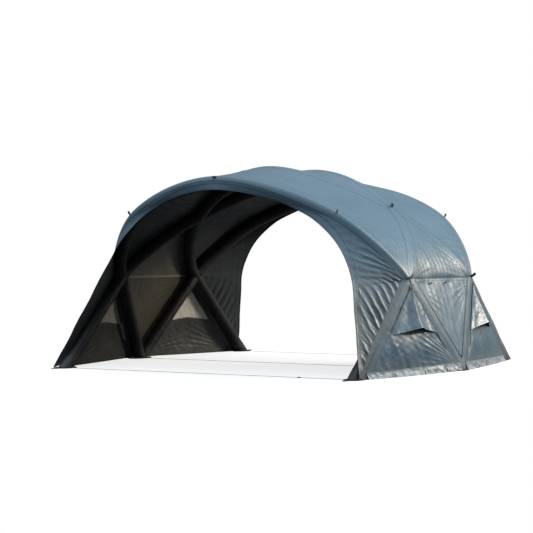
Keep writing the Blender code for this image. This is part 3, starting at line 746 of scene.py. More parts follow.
OUTER = (0.122, 0.214, 0.285)
# Copies of one outer cloth: each paints its own amount of shade towards its foot, most on the visors and least on the
# door.
SKIN_OUT = cloth_material("canopy_outer", OUTER, 0.37, sheen=0.03, low_shade=0.32)
VISOR_OUT = cloth_material("canopy_outer_visor", OUTER, 0.40, sheen=0.03, low_shade=0.75)
DOOR_OUT = cloth_material("door_outer", shade_of(OUTER, 1.02), 0.35, sheen=0.03, low_shade=0.12)
HOOD_OUT = cloth_material("hood_outer", OUTER, 0.36, sheen=0.03, low_shade=0.25)
SKIRT_OUT = cloth_material("skirt_outer", (0.25, 0.34, 0.41), 0.42, seams=False, dusty=0.45)
# On the linings, the strip factors above one lighten the crest strips as painted light.
ROOF_IN = cloth_material("canopy_lining_roof", (0.058, 0.066, 0.072), 0.52, 1.5, dusty=0.0)
VISOR_IN = cloth_material("canopy_lining_visor", (0.068, 0.076, 0.080), 0.46, 1.5, specular=0.6)
# The wall linings are a shaded front copy and a lit back copy of one lining. Their window colours are painted light
# through the mesh windows, dim at the front and bright at the back.
WALL_IN_LIT_AND_SHADED = {FRONT: cloth_material("canopy_lining_wall_front_shaded", (0.032, 0.033, 0.032), 0.44, 3.4,
                                 window_light_and_shade=(0.34, 0.33, 0.29), dusty=0.04, specular=0.5),
           BACK: cloth_material("canopy_lining_wall_back_lit", (0.062, 0.062, 0.056), 0.40, 3.4,
                                window_light_and_shade=(0.92, 0.88, 0.77), dusty=0.06, specular=0.7)}
SIDE_IN = cloth_material("canopy_lining_side", (0.115, 0.112, 0.092), 0.45, 1.5, specular=0.6)
DOOR_IN = cloth_material("door_lining", (0.095, 0.090, 0.066), 0.38, 3.0, dusty=0.08, specular=0.7)
# Hem tape whose pale colour is a painted highlight.
HEM_HIGHLIGHT_TAPE = cloth_material("binding_painted_highlight", (0.30, 0.29, 0.25), 0.5, seams=False)
HOOD_IN = cloth_material("hood_lining", (0.05, 0.05, 0.05), 0.65, seams=False)
SLEEVE = sleeve_material("tube_sleeve_weave", (0.008, 0.009, 0.011))
BOOT = moulded_material("foot_boot_coating", (0.035, 0.045, 0.055), 0.5)
WEBBING = webbing_material("webbing_black", (0.016, 0.016, 0.018))
PLASTIC = moulded_material("plastic_black", (0.02, 0.02, 0.022), 0.36)
STEEL = moulded_material("ring_steel_worn", (0.42, 0.43, 0.45), 0.28, 1.0)
COIL = moulded_material("zip_coil_dark", (0.03, 0.03, 0.032), 0.42)


# ------------------------------------------------------------------ the canopy

def crest_at(edge, side, u):
    """The crest's point at u, counted up from the foot on one side."""
    return crest_point(edge, leg_t(side, u))


def clear_of_seams(grid, low, high):
    return smooth(grid["ea"], low, high) * smooth(grid["eb"], low, high)


def cloth_piece(name, grid, mats, stands_for=(), extra=None):
    # The cloth's foot settles on the ground and never passes under it.
    level = grid["points"][..., 2]
    grid["points"][..., 2] = 0.5 * (level + np.sqrt(level**2 + (2 * GROUND_GAP) ** 2))
    shell(name, grid["points"], mats, {**panel_masks(grid), **(extra or {})}, stands_for=stands_for)


def make_visors():
    for end, end_name in ENDS:
        leg, top = long_edge(end), end_edge(end)
        edge_a, edge_b = joined(leg, top, top), hem_edge(end)
        grid = cross_sections(edge_a, edge_b, row_steps(0.004, 5.996, edge_a.line, 0.019), 0.018, 0.004)
        p, low, ea, eb = (grid[key] for key in ("points", "low", "ea", "eb"))
        height = common_folds(grid, 11 + end)
        clear = smooth(ea, 0.10, 0.17) * smooth(eb, 0.02, 0.13)
        up_leg = np.minimum(grid["along_a"], grid["along_a"].max() - grid["along_a"])
        # Folds pulled from the leg seam across to the free edge, strongest below the knee.
        strong = smooth(low, 0.03, 0.2) * (1 - smooth(low, 0.98, 1.22))
        strong = strong * (0.35 + 0.9 * bump(grid["dist"] / grid["total"], 0.35, 0.4)) * clear
        patchy = np.clip(0.75 + 0.55 * noise(p, 0.4, 21 + end), 0.1, 1.4)
        height += 0.0125 * strong * patchy * slant_folds(p, up_leg - 1.15 * grid["dist"], 0.135, 23 + end)
        height += 0.0032 * strong * slant_folds(p, up_leg - 0.9 * grid["dist"], 0.060, 29 + end)
        # Slack in the roll over the arch, soft and wide.
        height += 0.0035 * clear * smooth(low, 1.1, 1.6) * noise(p, 0.5, 31 + end)
        height += 0.002 * clear * smooth(low, 1.0, 1.4) * ruling_folds(grid, 0.16, 0.1, 33 + end)
        for side in (LEFT, RIGHT):
            pulls = fan(p, crest_at(top, side, 1.0), crest_at(top, side, 1.35), crest_at(edge_b, side, 1.15),
                        0.13, (0.02, 1.0), 1.15, 41 + side + 3 * end)
            height += 0.0095 * clear * (p[..., 0] * side > 0) * pulls
        # The free edge is bound, and scallops a little between its stays.
        height += 0.0035 * (1 - smooth(eb, 0.0, 0.11)) * np.sin(TAU * grid["along"] / 0.62)
        height += 0.0015 * (eb < 0.0225)
        raise_folds(grid, height)
        cloth_piece(f"visor_cloth_{end_name}", grid, (VISOR_OUT, VISOR_IN), (f"visor_{end_name}",))
        # Webbing sewn inside along the free edge.
        inner = -turned_out(grid_normals(grid["points"]), p)[:, -3]
        ribbon(f"visor_hem_tape_{end_name}", grid["points"][:, -3] + inner * 0.0030, inner, 0.024, 0.0010, WEBBING)


def make_roof():
    for end, end_name in ENDS:
        edge_a, edge_b = end_edge(end), joined(long_edge(end), long_edge(end), long_edge(-end))
        grid = cross_sections(edge_a, edge_b, row_steps(1.008, 4.992, edge_a.line), sag=0.022)
        p, clear = grid["points"], clear_of_seams(grid, 0.08, 0.2)
        height = common_folds(grid, 51 + end)
        patchy = (0.2 + bump(grid["low"], 2.1, 0.55)) * np.clip(0.6 + 0.8 * noise(p, 0.6, 55 + end), 0, 1.5)
        height += 0.0095 * clear * patchy * ruling_folds(grid, 0.15, 0.06, 53 + end)
        height += 0.006 * clear * noise(p, 0.75, 57 + end)
        for side in (LEFT, RIGHT):
            pulls = fan(p, crest_at(edge_a, side, 1.0), crest_at(edge_a, side, 1.5), crest_at(edge_b, side, 1.5),
                        0.17, (0.02, 1.2), 1.3, 61 + side + 3 * end, 0.1)
            height += 0.005 * clear * (p[..., 0] * side > 0) * pulls
        raise_folds(grid, height)
        cloth_piece(f"roof_cloth_{end_name}", grid, (SKIN_OUT, ROOF_IN), (f"roof_panel_{end_name}",))

    grid = cross_sections(long_edge(FRONT), long_edge(BACK), row_steps(2.008, 3.992, long_arch(FRONT)), sag=0.03)
    slack = 0.005 * noise(grid["points"], 0.6, 72) + 0.003 * ruling_folds(grid, 0.17, 0.0, 73)
    raise_folds(grid, common_folds(grid, 71) + clear_of_seams(grid, 0.08, 0.2) * slack)
    cloth_piece("ridge_cloth", grid, (SKIN_OUT, ROOF_IN), ("ridge_panel",))


def make_sides():
    for side, side_name in SIDES:
        rows = row_steps(*leg_span(side, 1.0, 1.992), long_arch(FRONT))
        grid = cross_sections(long_edge(FRONT), long_edge(BACK), rows, sag=0.012)
        p, low = grid["points"], grid["low"]
        slack = clear_of_seams(grid, 0.08, 0.2) * smooth(low, 1.0, 1.12)
        height = common_folds(grid, 81 + side) * smooth(low, 1.0, 1.06)
        height += 0.0022 * slack * crease(TAU * p[..., 1] / 0.11 + 1.3 * noise(p, 0.4, 83 + side))
        height += 0.006 * slack * noise(p, 0.45, 85 + side)
        for end in (FRONT, BACK):
            near, far = long_edge(end), long_edge(-end)
            height += 0.005 * slack * fan(p, crest_at(near, side, 1.0), crest_at(near, side, 1.9),
                                          crest_at(far, side, 1.0), 0.13, (0.02, 0.9), 1.0, 87 + side + 3 * end, 0.1)
        raise_folds(grid, height)
        hem = np.abs(np.abs(p[..., 2] - p[..., 2].min()) - 0.03)
        cloth_piece(f"side_cloth_{side_name}", grid, (SKIN_OUT, SIDE_IN), (f"side_panel_{side_name}",),
                    dict(seam=np.minimum(panel_masks(grid)["seam"], hem)))


def make_walls():
    for end, side, place in CORNERS:
        corner, middle = long_edge(end), end_edge(end)
        rows = row_steps(*leg_span(side, 0.0, 0.992), corner.line, 0.018)
        grid = cross_sections(corner, middle, rows, 0.02, -0.006)
        p, low, ea, eb = (grid[key] for key in ("points", "low", "ea", "eb"))
        share = grid["dist"] / grid["total"]
        clear = clear_of_seams(grid, 0.09, 0.17)
        height = common_folds(grid, 91 + end + 4 * side) * smooth(low, 0, 0.05)
        height += 0.034 * clear * bump(low, 0.26, 0.2) * np.sin(math.pi * share)
        for edge, other, seed in ((corner, middle, 1), (middle, corner, 2)):
            pulls = fan(p, crest_at(edge, side, 0.05), crest_at(other, side, 0.05), crest_at(edge, side, 0.6),
                        0.085, (0.0, 0.75), 1.25, 95 + seed + 5 * end + 9 * side)
            height += 0.0085 * clear * bump(low, 0.18, 0.28) * pulls
        height += 0.006 * clear * noise(p, 0.3, 99 + end + side) * smooth(low, 0.03, 0.2)
        height += 0.0028 * clear * noise(p, 0.09, 101 + end + side) * smooth(low, 0.03, 0.1)
        # The vent's slit gapes beside the middle leg, under the hood's corner.
        slit = bump(eb, 0.150, 0.022) * smooth(low, 0.20, 0.27) * (1 - smooth(low, 0.40, 0.46))
        raise_folds(grid, height - 0.012 * slit)
        # The windows start below the hood's hem, so outside their near-black shows as a band of painted shade under
        # it. The slit is painted dark as the shadow in its gap.
        sill = HOOD_HEM - 0.016 + 0.052 * (1 - np.abs(2 * share - 1))
        window_light_and_shade = smooth(low - sill, 0.0, 0.012) * (1 - smooth(low, WINDOW_TOP - 0.06, WINDOW_TOP))
        window_light_and_shade = window_light_and_shade * smooth(ea, 0.185, 0.20) * smooth(eb, 0.15, 0.165)
        across = np.where(ea * eb > 0.02, np.abs(low - WINDOW_SEAM) * 1.9, 1.0)
        cloth_piece(f"wall_cloth_{place}", grid, (SKIN_OUT, WALL_IN_LIT_AND_SHADED[end]), (f"vent_wall_{place}",),
                    dict(mesh=np.maximum(window_light_and_shade, np.clip(slit * 1.6, 0, 1)),
                         seam=np.minimum(panel_masks(grid)["seam"], across)))


def flat_normal(side, a, b, c):
    """The normal of a plane through three points, turned outwards."""
    normal = unit(np.cross(b - a, c - a))
    return normal * np.sign(normal[0] * side)


def door_grid(side, low, high, spacing, sag=0.0, limit=None, end=FRONT):
    """The sheet over the middle legs between two heights, read from this end's leg."""
    rows = row_steps(*leg_span(side, low, high), end_arch(FRONT), 0.018)
    return cross_sections(end_edge(end), end_edge(-end), rows, spacing, sag, limit)


def door_foot(side):
    """How far up the legs the door's two zips begin."""
    full = door_grid(side, 0.0, DOOR_TOP, ROW)
    return full["low"][full["total"] > 2 * DOOR_ZIP + 0.05].min()


def wall_out(side):
    """The door's outward normal."""
    front, back = end_edge(FRONT), end_edge(BACK)
    return flat_normal(side, crest_at(front, side, 0.2), crest_at(front, side, 0.9), crest_at(back, side, 0.9))


def make_doors():
    """The cover strips over the middle legs stay put; the door cloth hangs between their zips."""
    for side, side_name in SIDES:
        for end, end_name in ENDS:
            grid = door_grid(side, 0.0, 0.992, 0.012, end=end,
                             limit=lambda total: (0 * total, np.minimum(DOOR_ZIP, total / 2)))
            grid["eb"] = grid["eb"] + 1.0
            raise_folds(grid, common_folds(grid, 111 + end + side) * 0.5)
            cloth_piece(f"leg_cover_{end_name}_{side_name}", grid, (SKIN_OUT, DOOR_IN))

        gap = DOOR_ZIP + 0.0015
        grid = door_grid(side, door_foot(side), DOOR_TOP, 0.02, 0.004,
                         lambda total: (0 * total + gap, total - gap))
        p = grid["points"]
        inset = np.minimum(grid["dist"], grid["total"] - grid["dist"]) - DOOR_ZIP
        clear = smooth(inset, 0.015, 0.12) * (1 - smooth(grid["low"], 0.93, DOOR_TOP))
        height = 0.006 * noise(p, 0.5, 121 + side) + 0.0018 * noise(p, 0.13, 123 + side)
        height += 0.0022 * crease(TAU * p[..., 1] / 0.15 + 2.2 * noise(p, 0.5, 125 + side))
        for end in (FRONT, BACK):
            corner = crest_at(end_edge(end), side, 0.97)
            height += 0.0048 * fan(p, corner, corner - (0, end, 0), crest_at(end_edge(end), side, 0.2), 0.13,
                                   (0.1, 1.1), 1.0, 127 + side + 3 * end, 0.1)
        raise_folds(grid, clear * height)
        seam = np.minimum(np.abs(inset - 0.022), np.abs(p[..., 2] - p[..., 2].max() + 0.03))
        masks = plain_masks(seam, grid["along"], grid["dist"])
        door = shell(f"door_cloth_{side_name}", grid["points"], (DOOR_OUT, DOOR_IN), masks, None,
                     stands_for=(f"door_{side_name}",))
        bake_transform(door)


def make_bindings():
    """Tape inside along the foot of each side panel; its pale colour is a painted highlight, the light caught along
    that hem.
    """
    for side, side_name in SIDES:
        start, stop = (crest_at(end_edge(end), side, 0.978) for end in (FRONT, BACK))
        normal = wall_out(side)
        line = start + (stop - start) * np.linspace(0.085, 0.915, 60)[:, None] - normal * 0.014
        line = line + normal * (0.0015 * noise(line, 0.2, 161 + side))[:, None]
        ribbon(f"side_binding_{side_name}", line, -normal, 0.024, 0.0010, HEM_HIGHLIGHT_TAPE, CLOTH)


# ------------------------------------------------------------------ vent hoods, zips and skirts

def wall_normal(end, side):
    """A vent wall's outward normal."""
    corner, middle = long_edge(end), end_edge(end)
    return flat_normal(side, crest_at(corner, side, 0.1), crest_at(middle, side, 0.1), crest_at(corner, side, 0.8))


def make_hoods():
    tall, rows, cols = 0.62, 44, 61
    for end, side, place in CORNERS:
        normal = wall_normal(end, side)
        v = np.linspace(0, 1, rows)[:, None]
        s = np.linspace(0, 1, cols)[None]
        edge = np.minimum(s, 1 - s)
        ridge = 1 - np.sqrt((2 * s - 1) ** 2 + 0.0006)
        t = leg_t(side, HOOD_HEM + (HOOD_TOP - HOOD_HEM) * v + 0.055 * ridge * (1 - v) ** 1.5)
        a, b = (line(t) + normal * CLOTH_R for line in (long_arch(end), end_arch(end)))
        across = np.linalg.norm(b - a, axis=-1)
        narrow = np.clip(1 - v, 0.35, 1) ** 0.3
        low, high = (np.minimum(inset * narrow / across, 0.42) for inset in (0.150, 0.112))
        share = low + (1 - low - high) * s
        points = a + (b - a) * share[..., None]
        # A ridge stands over the batten and each facet hangs hollow between it and its seam.
        lift = 0.115 * np.clip(ridge, 0, 1) ** 1.25 * (1 - v) ** 1.1 + 0.010
        lift = lift + 0.016 * (1 - v) ** 3 * smooth(edge, 0.0, 0.1) - 0.010 * np.sin(TAU * s) ** 2 * (1 - v)
        p = points + normal * lift[..., None]
        seed = end + 3 * side
        ripple = noise(p, 0.16, 131 + seed) + 0.6 * noise(p, 0.07, 133 + seed)
        lift = lift + 0.0030 * ripple * smooth(edge, 0.02, 0.12) * smooth(1 - v, 0.1, 0.5)
        pull = crease(TAU * (v * 2.2 + s * 3.0) + 2 * noise(p, 0.3, 137 + side))
        lift = lift + 0.0024 * pull * smooth(edge, 0.01, 0.08) * (1 - smooth(edge, 0.3, 0.45)) * (1 - v)
        lift = lift + 0.0020 * np.clip(1 - v * rows / 1.6, 0, 1)
        points = points + normal * lift[..., None]
        metres = across * (1 - low - high)
        seam = np.minimum.reduce((np.abs(edge * metres - 0.012), np.abs(v * tall - 0.022) + 0 * s,
                                  np.abs(s - 0.5) * metres + 0.002))
        masks = plain_masks(seam, v * tall + 0 * s, share * across)
        hood = shell(f"hood_cloth_{place}", points, (HOOD_OUT, HOOD_IN), masks, stands_for=(f"vent_hood_{place}",),
                     thickness=0.0016, outward=normal)
        anchor = long_arch(end)(np.array(leg_t(side, 0.5))) + normal * (CLOTH_R + 0.004)
        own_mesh(hood)

        # Binding tape along both side seams, from the hem corners up to the peak.
        for k, tag, width, mat, slot in ((0, "outer", 0.016, SKIN_OUT, CLOTH), (-1, "inner", 0.010, WEBBING, WEB)):
            ribbon(f"hood_binding_{tag}_{place}", points[:, k] + normal * 0.0012, normal, width, 0.0012, mat, slot)


def frame_axes(x_axis, z_axis, at):
    x_axis, z_axis = Vector(x_axis).normalized(), Vector(z_axis).normalized()
    y_axis = z_axis.cross(x_axis).normalized()
    return Matrix.Translation(Vector(at)) @ Matrix((y_axis.cross(z_axis), y_axis, z_axis)).transposed().to_4x4()


def make_zips():
    """A coil of teeth along each side of the door, and the storm tape it is sewn to."""
    signs = (-1, 1)
    tooth = ((0, 2, 3, 1), (4, 5, 7, 6), (0, 1, 5, 4), (2, 6, 7, 3), (0, 4, 6, 2), (1, 3, 7, 5))
    for side, side_name in SIDES:
        normal = wall_out(side)
        for end, end_name in ENDS:
            grid = door_grid(side, door_foot(side), 0.975, 0.004, end=end,
                             limit=lambda total: (0 * total + DOOR_ZIP - 0.004, 0 * total + DOOR_ZIP + 0.004))
            middle = grid["points"].mean(1)
            seated = middle + normal * 0.0022
            head = unit(np.gradient(seated, axis=0))
            flat = unit(np.cross(normal, head))
            verts, faces = [], []
            for n, k in enumerate(np.linspace(0.0, len(seated) - 1.001, int(lengths(seated)[-1] / 0.0075))):
                i, f = int(k), k - int(k)
                at = seated[i] * (1 - f) + seated[i + 1] * f + flat[i] * (0.0012 if n % 2 else -0.0012)
                faces += [[len(verts) + q for q in quad] for quad in tooth]
                verts += [at + a * head[i] * 0.0024 + b * flat[i] * 0.0032 + c * normal * 0.0014
                          for c in signs for b in signs for a in signs]
            name = f"zip_coil_{end_name}_{side_name}"
            add_piece(name, make_mesh(name, verts, faces, (COIL,)), "shelter", HARD)
            line = middle + normal * 0.0006
            ribbon(f"zip_tape_{end_name}_{side_name}", line, normal, 0.020, 0.0010, DOOR_OUT, CLOTH)


def make_skirts():
    """A crumpled mud flap along the foot of each wall, sewn on just above the ground."""
    count = 150
    u = np.linspace(0, 1, 13)[:, None]
    for end, side, place in CORNERS:
        normal = wall_normal(end, side)
        level = leg_t(side, 0.082)
        grid = cross_sections(long_edge(end), end_edge(end), np.array((level, level + 0.001)), 0.015, -0.006)
        dist = grid["dist"][0]
        even = np.linspace(0.004, dist[-1] - 0.002, count)
        top = np.stack([np.interp(even, dist, grid["points"][0, :, k]) for k in range(3)], -1)
        share = even / dist[-1]
        top += normal * (0.006 + 0.0165 * np.sin(math.pi * share)[:, None])
        out = unit(np.array((normal[0], normal[1], 0.0)))
        points = top + out * (0.014 * u + 0.022 * u**2)[..., None]
        points[..., 2] = top[:, 2] * (1 - u) + 0.004 * u
        seed = end + 5 * side
        crumple = 1.1 * noise(points, 0.10, 141 + seed) + 0.7 * noise(points, 0.045, 143 + seed)
        strong = (0.12 + 0.88 * u) * smooth(np.minimum(share, 1 - share), 0.0, 0.02)
        points += out * (0.010 * crumple * strong)[..., None]
        points[..., 2] += 0.006 * noise(points, 0.07, 145 + end + side) * (u * (1 - u) * 4)
        points[..., 2] = np.maximum(points[..., 2], 0.0035)
        across = u * 0.1 + 0 * share
        masks = plain_masks(np.abs(across - 0.008), even + 0 * across, across)
        shell(f"skirt_{place}", points, (SKIRT_OUT, SKIRT_OUT), masks, outward=out)
        for k, where in enumerate((0.24, 0.55, 0.8)):
            i = int(where * count)
            a, b = points[5, i] + out * 0.004, points[-1, i] + out * 0.012
            a[2] += 0.012
            b[2] = 0.012
            bow = np.linspace(0, 1, 12)[:, None]
            line = a * (1 - bow) + b * bow + out * (0.016 * np.sin(math.pi * bow))
            ribbon(f"skirt_loop_{k}_{place}", line, out, 0.018, 0.0016, WEBBING)


# ------------------------------------------------------------------ tubes

def tube_grid(line, span, radius, seed, step=0.02, wrinkle=1.0, sides=40):
    """Rings of a sewn sleeve round an arch; it gathers in small creases on the inner side of its bends."""
    rows = row_steps(*span, line, step)
    centre, head = line(rows), heading(line, rows)
    guide = np.array((0.0, 0.0, -1.0))
    up = unit(guide - head * dot(guide, head)[:, None])
    angle = np.linspace(0, TAU, sides + 1)[None]
    away = on_tube(0, 1, up[:, None], np.cross(head, up)[:, None], angle)
    along = lengths(centre)[:, None]
    hollow = np.clip(dot(away, np.gradient(head, along[:, 0], axis=0)[:, None]), 0, 3)
    p = centre[:, None] + away * radius
    gather = hollow * np.sin(TAU * along / 0.042 + 1.92 * noise(p, 0.15, seed)) * wrinkle
    gap = np.minimum(angle, TAU - angle) * radius + 0 * along
    grown = radius + 0.0020 * gather + 0.0010 * noise(p, 0.11, seed + 1) + 0.0014 * bump(gap, 0.0, 0.006)
    points = centre[:, None] + away * grown[..., None]
    points[:, -1] = points[:, 0]
    return dict(points=points, along=along + 0 * angle, across=angle * radius + 0 * along, seam=gap,
                head=head, centre=centre)


def closed_tube(name, grid, mat, stands_for=(), floor=None):
    """A sleeve closed by rounded ends."""
    points = grid["points"][:, :-1]
    caps = []
    for end, sign in ((0, -1), (-1, 1)):
        centre, head = grid["centre"][end], grid["head"][end] * sign
        caps.append([centre + (points[end] - centre) * math.cos(a) + head * 0.012 * math.sin(a)
                     for a in (0.45, 0.9, 1.25)])
    points = np.concatenate((caps[0][::-1], points, caps[1]))
    if floor is not None:
        points[..., 2] = np.maximum(points[..., 2], floor)
    masks = {key: np.append(np.pad(grid[key][:, :-1], ((3, 3), (0, 0)), mode="edge"), (0.5, 0.5))
             for key in ("along", "across", "seam")}
    count = points[..., 0].size
    verts = np.concatenate((points.reshape(-1, 3), points[:1].mean(1), points[-1:].mean(1)))
    faces = ring_faces(np.arange(count).reshape(points.shape[:2]), count, count + 1)
    mesh = make_mesh(name, verts, faces, (mat,), None, masks, 60, True)
    add_piece(name, mesh, "shelter", "tube_sleeve", stands_for)


def cuff(name, line, span, grow, seed, mat=SLEEVE, stands_for=(), floor=None):
    """A short reinforcing sleeve with rolled hems over a tube."""
    grid = tube_grid(line, span, TUBE_R + grow, seed, 0.008, 0.6)
    rim = np.minimum(grid["along"], grid["along"].max() - grid["along"])
    lift = 0.0018 * bump(rim, 0.005, 0.004) - 0.0012 * bump(rim, 0.012, 0.003)
    grid["points"] += unit(grid["points"] - grid["centre"][:, None]) * lift[..., None]
    grid["seam"] = np.minimum(grid["seam"], np.abs(rim - 0.012))
    closed_tube(name, grid, mat, stands_for, floor)


def make_tubes():
    pad_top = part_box("mid_foot_right")[1].z + 0.0004
    for end, side, place in CORNERS:
        leg, middle = long_arch(end), end_arch(end)
        grid = tube_grid(leg, leg_span(side, -0.05, 1.87), TUBE_R, 151 + end + side)
        closed_tube(f"sleeve_leg_{place}", grid, SLEEVE, (f"leg_tube_{place}",), pad_top)
        grid = tube_grid(middle, leg_span(side, -0.05, 0.965), TUBE_R, 153 + end + side)
        # The two middle legs press flat against each other where they meet.
        grid["points"][..., 1] = end * np.maximum(end * grid["points"][..., 1], 0.0006)
        closed_tube(f"sleeve_middle_leg_{place}", grid, SLEEVE, (f"mid_leg_tube_{place}",), pad_top)
        for tag, line, low, high, grow, seed in (("long", leg, 0.905, 1.085, 0.0035, 157),
                                                 ("low", middle, 0.86, 0.945, 0.0030, 159),
                                                 ("high", middle, 1.055, 1.125, 0.0030, 161)):
            cuff(f"knee_cuff_{tag}_{place}", line, leg_span(side, low, high), grow, seed + end)
        cuff(f"foot_boot_{place}", leg, leg_span(side, -0.04, 0.085), 0.0040, 163 + end, BOOT, floor=pad_top)
        side_name = dict(SIDES)[side]
        cuff(f"shoulder_sleeve_{place}", leg, leg_span(side, 1.86, 2.14), 0.0035, 169 + end,
             stands_for=(f"shoulder_hub_{side_name}",))
    for end, end_name in ENDS:
        closed_tube(f"sleeve_end_arch_{end_name}", tube_grid(end_arch(end), (1.035, 4.965), TUBE_R, 165 + end),
                    SLEEVE, (f"end_arch_tube_{end_name}",))
        closed_tube(f"sleeve_ridge_{end_name}", tube_grid(long_arch(-end), (2.13, 3.87), TUBE_R, 167 + end),
                    SLEEVE, (f"ridge_arch_tube_{end_name}",))


# ------------------------------------------------------------------ feet, straps and fittings

def turned_piece(name, outline, at, x_axis, z_axis, body, stands_for, sides, flutes=0, depth=0.0):
    """A solid of revolution from (radius, height) points, top to bottom, with optional grip flutes."""
    radius, height = np.array(outline).T[:, :, None]
    angle = np.linspace(0, TAU, sides, endpoint=False)[None]
    cut = radius - depth * (0.5 + 0.5 * np.cos(flutes * angle)) * (radius > 0.8 * radius.max())
    points = np.stack((cut * np.cos(angle), cut * np.sin(angle), height + 0 * angle), -1)
    count = cut.size
    verts = np.concatenate((points.reshape(-1, 3), ((0, 0, outline[0][1]), (0, 0, outline[-1][1]))))
    faces = ring_faces(np.arange(count).reshape(cut.shape), count, count + 1)
    mesh = make_mesh(name, verts, faces, (PLASTIC,), smooth_angle=35, face_out=True)
    mesh.transform(frame_axes(x_axis, z_axis, at))
    add_piece(name, mesh, body, HARD, stands_for)


def wire_piece(name, points, radius, mat, body, slot, stands_for=(), cyclic=False):
    """A round wire or cord along points."""
    data = bpy.data.curves.new(name, "CURVE")
    data.dimensions = "3D"
    data.bevel_depth = radius
    data.bevel_resolution = 5
    data.use_fill_caps = True
    mesh = curve_mesh(name, data, cyclic, (points,), "NURBS", mat)
    mesh.shade_smooth()
    add_piece(name, mesh, body, slot, stands_for)


def plate_piece(name, loops, thickness, rounding, matrix, mat, body, stands_for=()):
    """A rounded plate from outlines in its own XY plane, centred on z = 0; later loops are holes."""
    data = bpy.data.curves.new(name, "CURVE")
    data.dimensions = "2D"
    data.fill_mode = "BOTH"
    data.extrude = thickness / 2 - rounding
    data.bevel_depth = rounding
    data.offset = -rounding
    data.bevel_resolution = 3
    mesh = curve_mesh(name, data, True, loops, "POLY", mat)
    mend(mesh, 0.00002)
    mesh.transform(matrix)
    mesh.shade_smooth()
    mesh.set_sharp_from_angle(angle=math.radians(40))
    add_piece(name, mesh, body, HARD, stands_for)


def rounded_box(half_x, half_y, radius, steps=5):
    return [(cx * (half_x - radius) + radius * math.cos(a), cy * (half_y - radius) + radius * math.sin(a))
            for cx, cy, start in ((1, 1, 0), (-1, 1, 90), (-1, -1, 180), (1, -1, 270))
            for a in (math.radians(start + 90 * k / steps) for k in range(steps + 1))]


def pad_piece(name, rx, ry, x, y, stands_for, seed):
    """A quilted ground pad with a piped rim."""
    u = np.concatenate((np.linspace(0.02, 0.86, 16), (0.89, 0.92, 0.95, 0.975, 0.99, 1.0)))[:, None]
    angle = np.linspace(0, TAU, 72, endpoint=False)[None]
    points = np.stack((rx * u * np.cos(angle), ry * u * np.sin(angle), 0 * u * angle), -1)
    top = 0.0105 + 0.0015 * bump(u, 0.93, 0.035) - 0.0012 * bump(u, 0.86, 0.02)
    top = np.where(u > 0.96, 0.012 * np.sqrt(np.clip(1 - ((u - 0.96) / 0.042) ** 2, 0.02, 1)), top) * 0.98
    points[..., 2] = top + 0.0006 * noise(points, 0.04, seed) * (u < 0.85)
    points = np.stack((points, points * (1, 1, 0) + (0, 0, 0.0008))) + (x, y, 0)
    top, under = np.arange(points[..., 0].size).reshape(points.shape[:3])
    rings = np.concatenate((top, under[::-1]))
    faces = ring_quads(rings) + [rings[0], rings[-1]]
    mesh = make_mesh(name, points.reshape(-1, 3), faces, (WEBBING,), smooth_angle=60, face_out=True)
    add_piece(name, mesh, "shelter", WEB, (stands_for,))


def make_feet():
    for _, side_name in SIDES:
        centre, size = centre_and_size(f"mid_foot_{side_name}")
        pad_piece(f"foot_pad_middle_{side_name}", size.x / 2, size.y / 2, centre.x, centre.y,
                  f"mid_foot_{side_name}", 171)
    for end, _, place in CORNERS:
        centre, size = centre_and_size(f"corner_foot_{place}")
        pad_piece(f"foot_pad_{place}", size.x / 2, 0.175, centre.x, end * CORNER_Y, f"corner_foot_{place}", 173 + end)
        ring = Vector(JOINTS[f"ring_{place}_flip"]["pos_m"])
        curve = [(0.0195, 0.0)]
        curve += [(0.021 * math.cos(a), 0.0234 * math.sin(a)) for a in np.linspace(0.2, math.pi - 0.2, 11)]
        curve += [(-0.0195, 0.0), (-0.008, 0.0), (0.008, 0.0)]
        wire_piece(f"ring_{place}", [(ring.x + px, ring.y + end * py, ring.z) for px, py in curve], 0.003, STEEL,
                   f"tie_out_ring_{place}", STEEL_SLOT, (f"tie_out_ring_{place}",), True)
        # A doubled tape runs out from under the boot, round the ring's bar and back.
        turn = 0.0046
        angle = np.linspace(math.pi / 2, -math.pi / 2, 12)
        start, stop = end * (CORNER_Y + 0.10), ring.y - end * 0.004
        run = np.linspace(start, stop, 14)
        crown = np.interp(np.abs(run - start), (0, 0.07, 0.08, 0.15), (0.0145, 0.0145, 0.012, ring.z + turn))
        back = np.linspace(stop, end * (CORNER_Y + 0.185), 8)
        y = np.concatenate((run, ring.y + end * turn * np.cos(angle), back))
        z = np.concatenate((crown, ring.z + turn * np.sin(angle), 0 * back + 0.0018))
        line = np.stack((ring.x + 0 * y, y, z), -1)
        up = unit(np.cross(np.array((-end, 0.0, 0.0)), np.gradient(line, axis=0)))
        ribbon(f"tie_out_tape_{place}", line, up, 0.030, 0.0014, WEBBING)


def make_straps():
    for place in ("front", "middle", "back"):
        centre, size = centre_and_size(f"ground_strap_{place}")
        x = centre.x + size.x * np.linspace(-0.5, 0.5, 260)
        line = np.stack((x, centre.y + 0 * x, centre.z + 0 * x), -1)
        ribbon(f"strap_webbing_{place}", line, (0.0, 0.0, 1.0), size.y, 0.0016, WEBBING, WEB, 0.0005, 181,
               (f"ground_strap_{place}",))
        buckle = f"strap_buckle_{place}"
        centre, size = centre_and_size(buckle)
        axes = Matrix.Translation(centre) @ Matrix(((0, 0, 1), (1, 0, 0), (0, 1, 0))).to_4x4()
        loops = rounded_box(size.y / 2, size.z / 2, 0.0028), rounded_box(0.0137, 0.0022, 0.0008)
        plate_piece(f"buckle_frame_{place}", loops, size.x, 0.0007, axes, PLASTIC, buckle, (buckle,))
        for k in range(4):
            at = centre + Vector(((k - 1.5) * 0.0075, 0.0, size.z / 2))
            points = [at + Vector((0.0, q * size.y * 0.38, 0.0)) for q in (-1, -0.5, 0, 0.5, 1)]
            wire_piece(f"buckle_grip_{k}_{place}", points, 0.0009, PLASTIC, buckle, HARD)


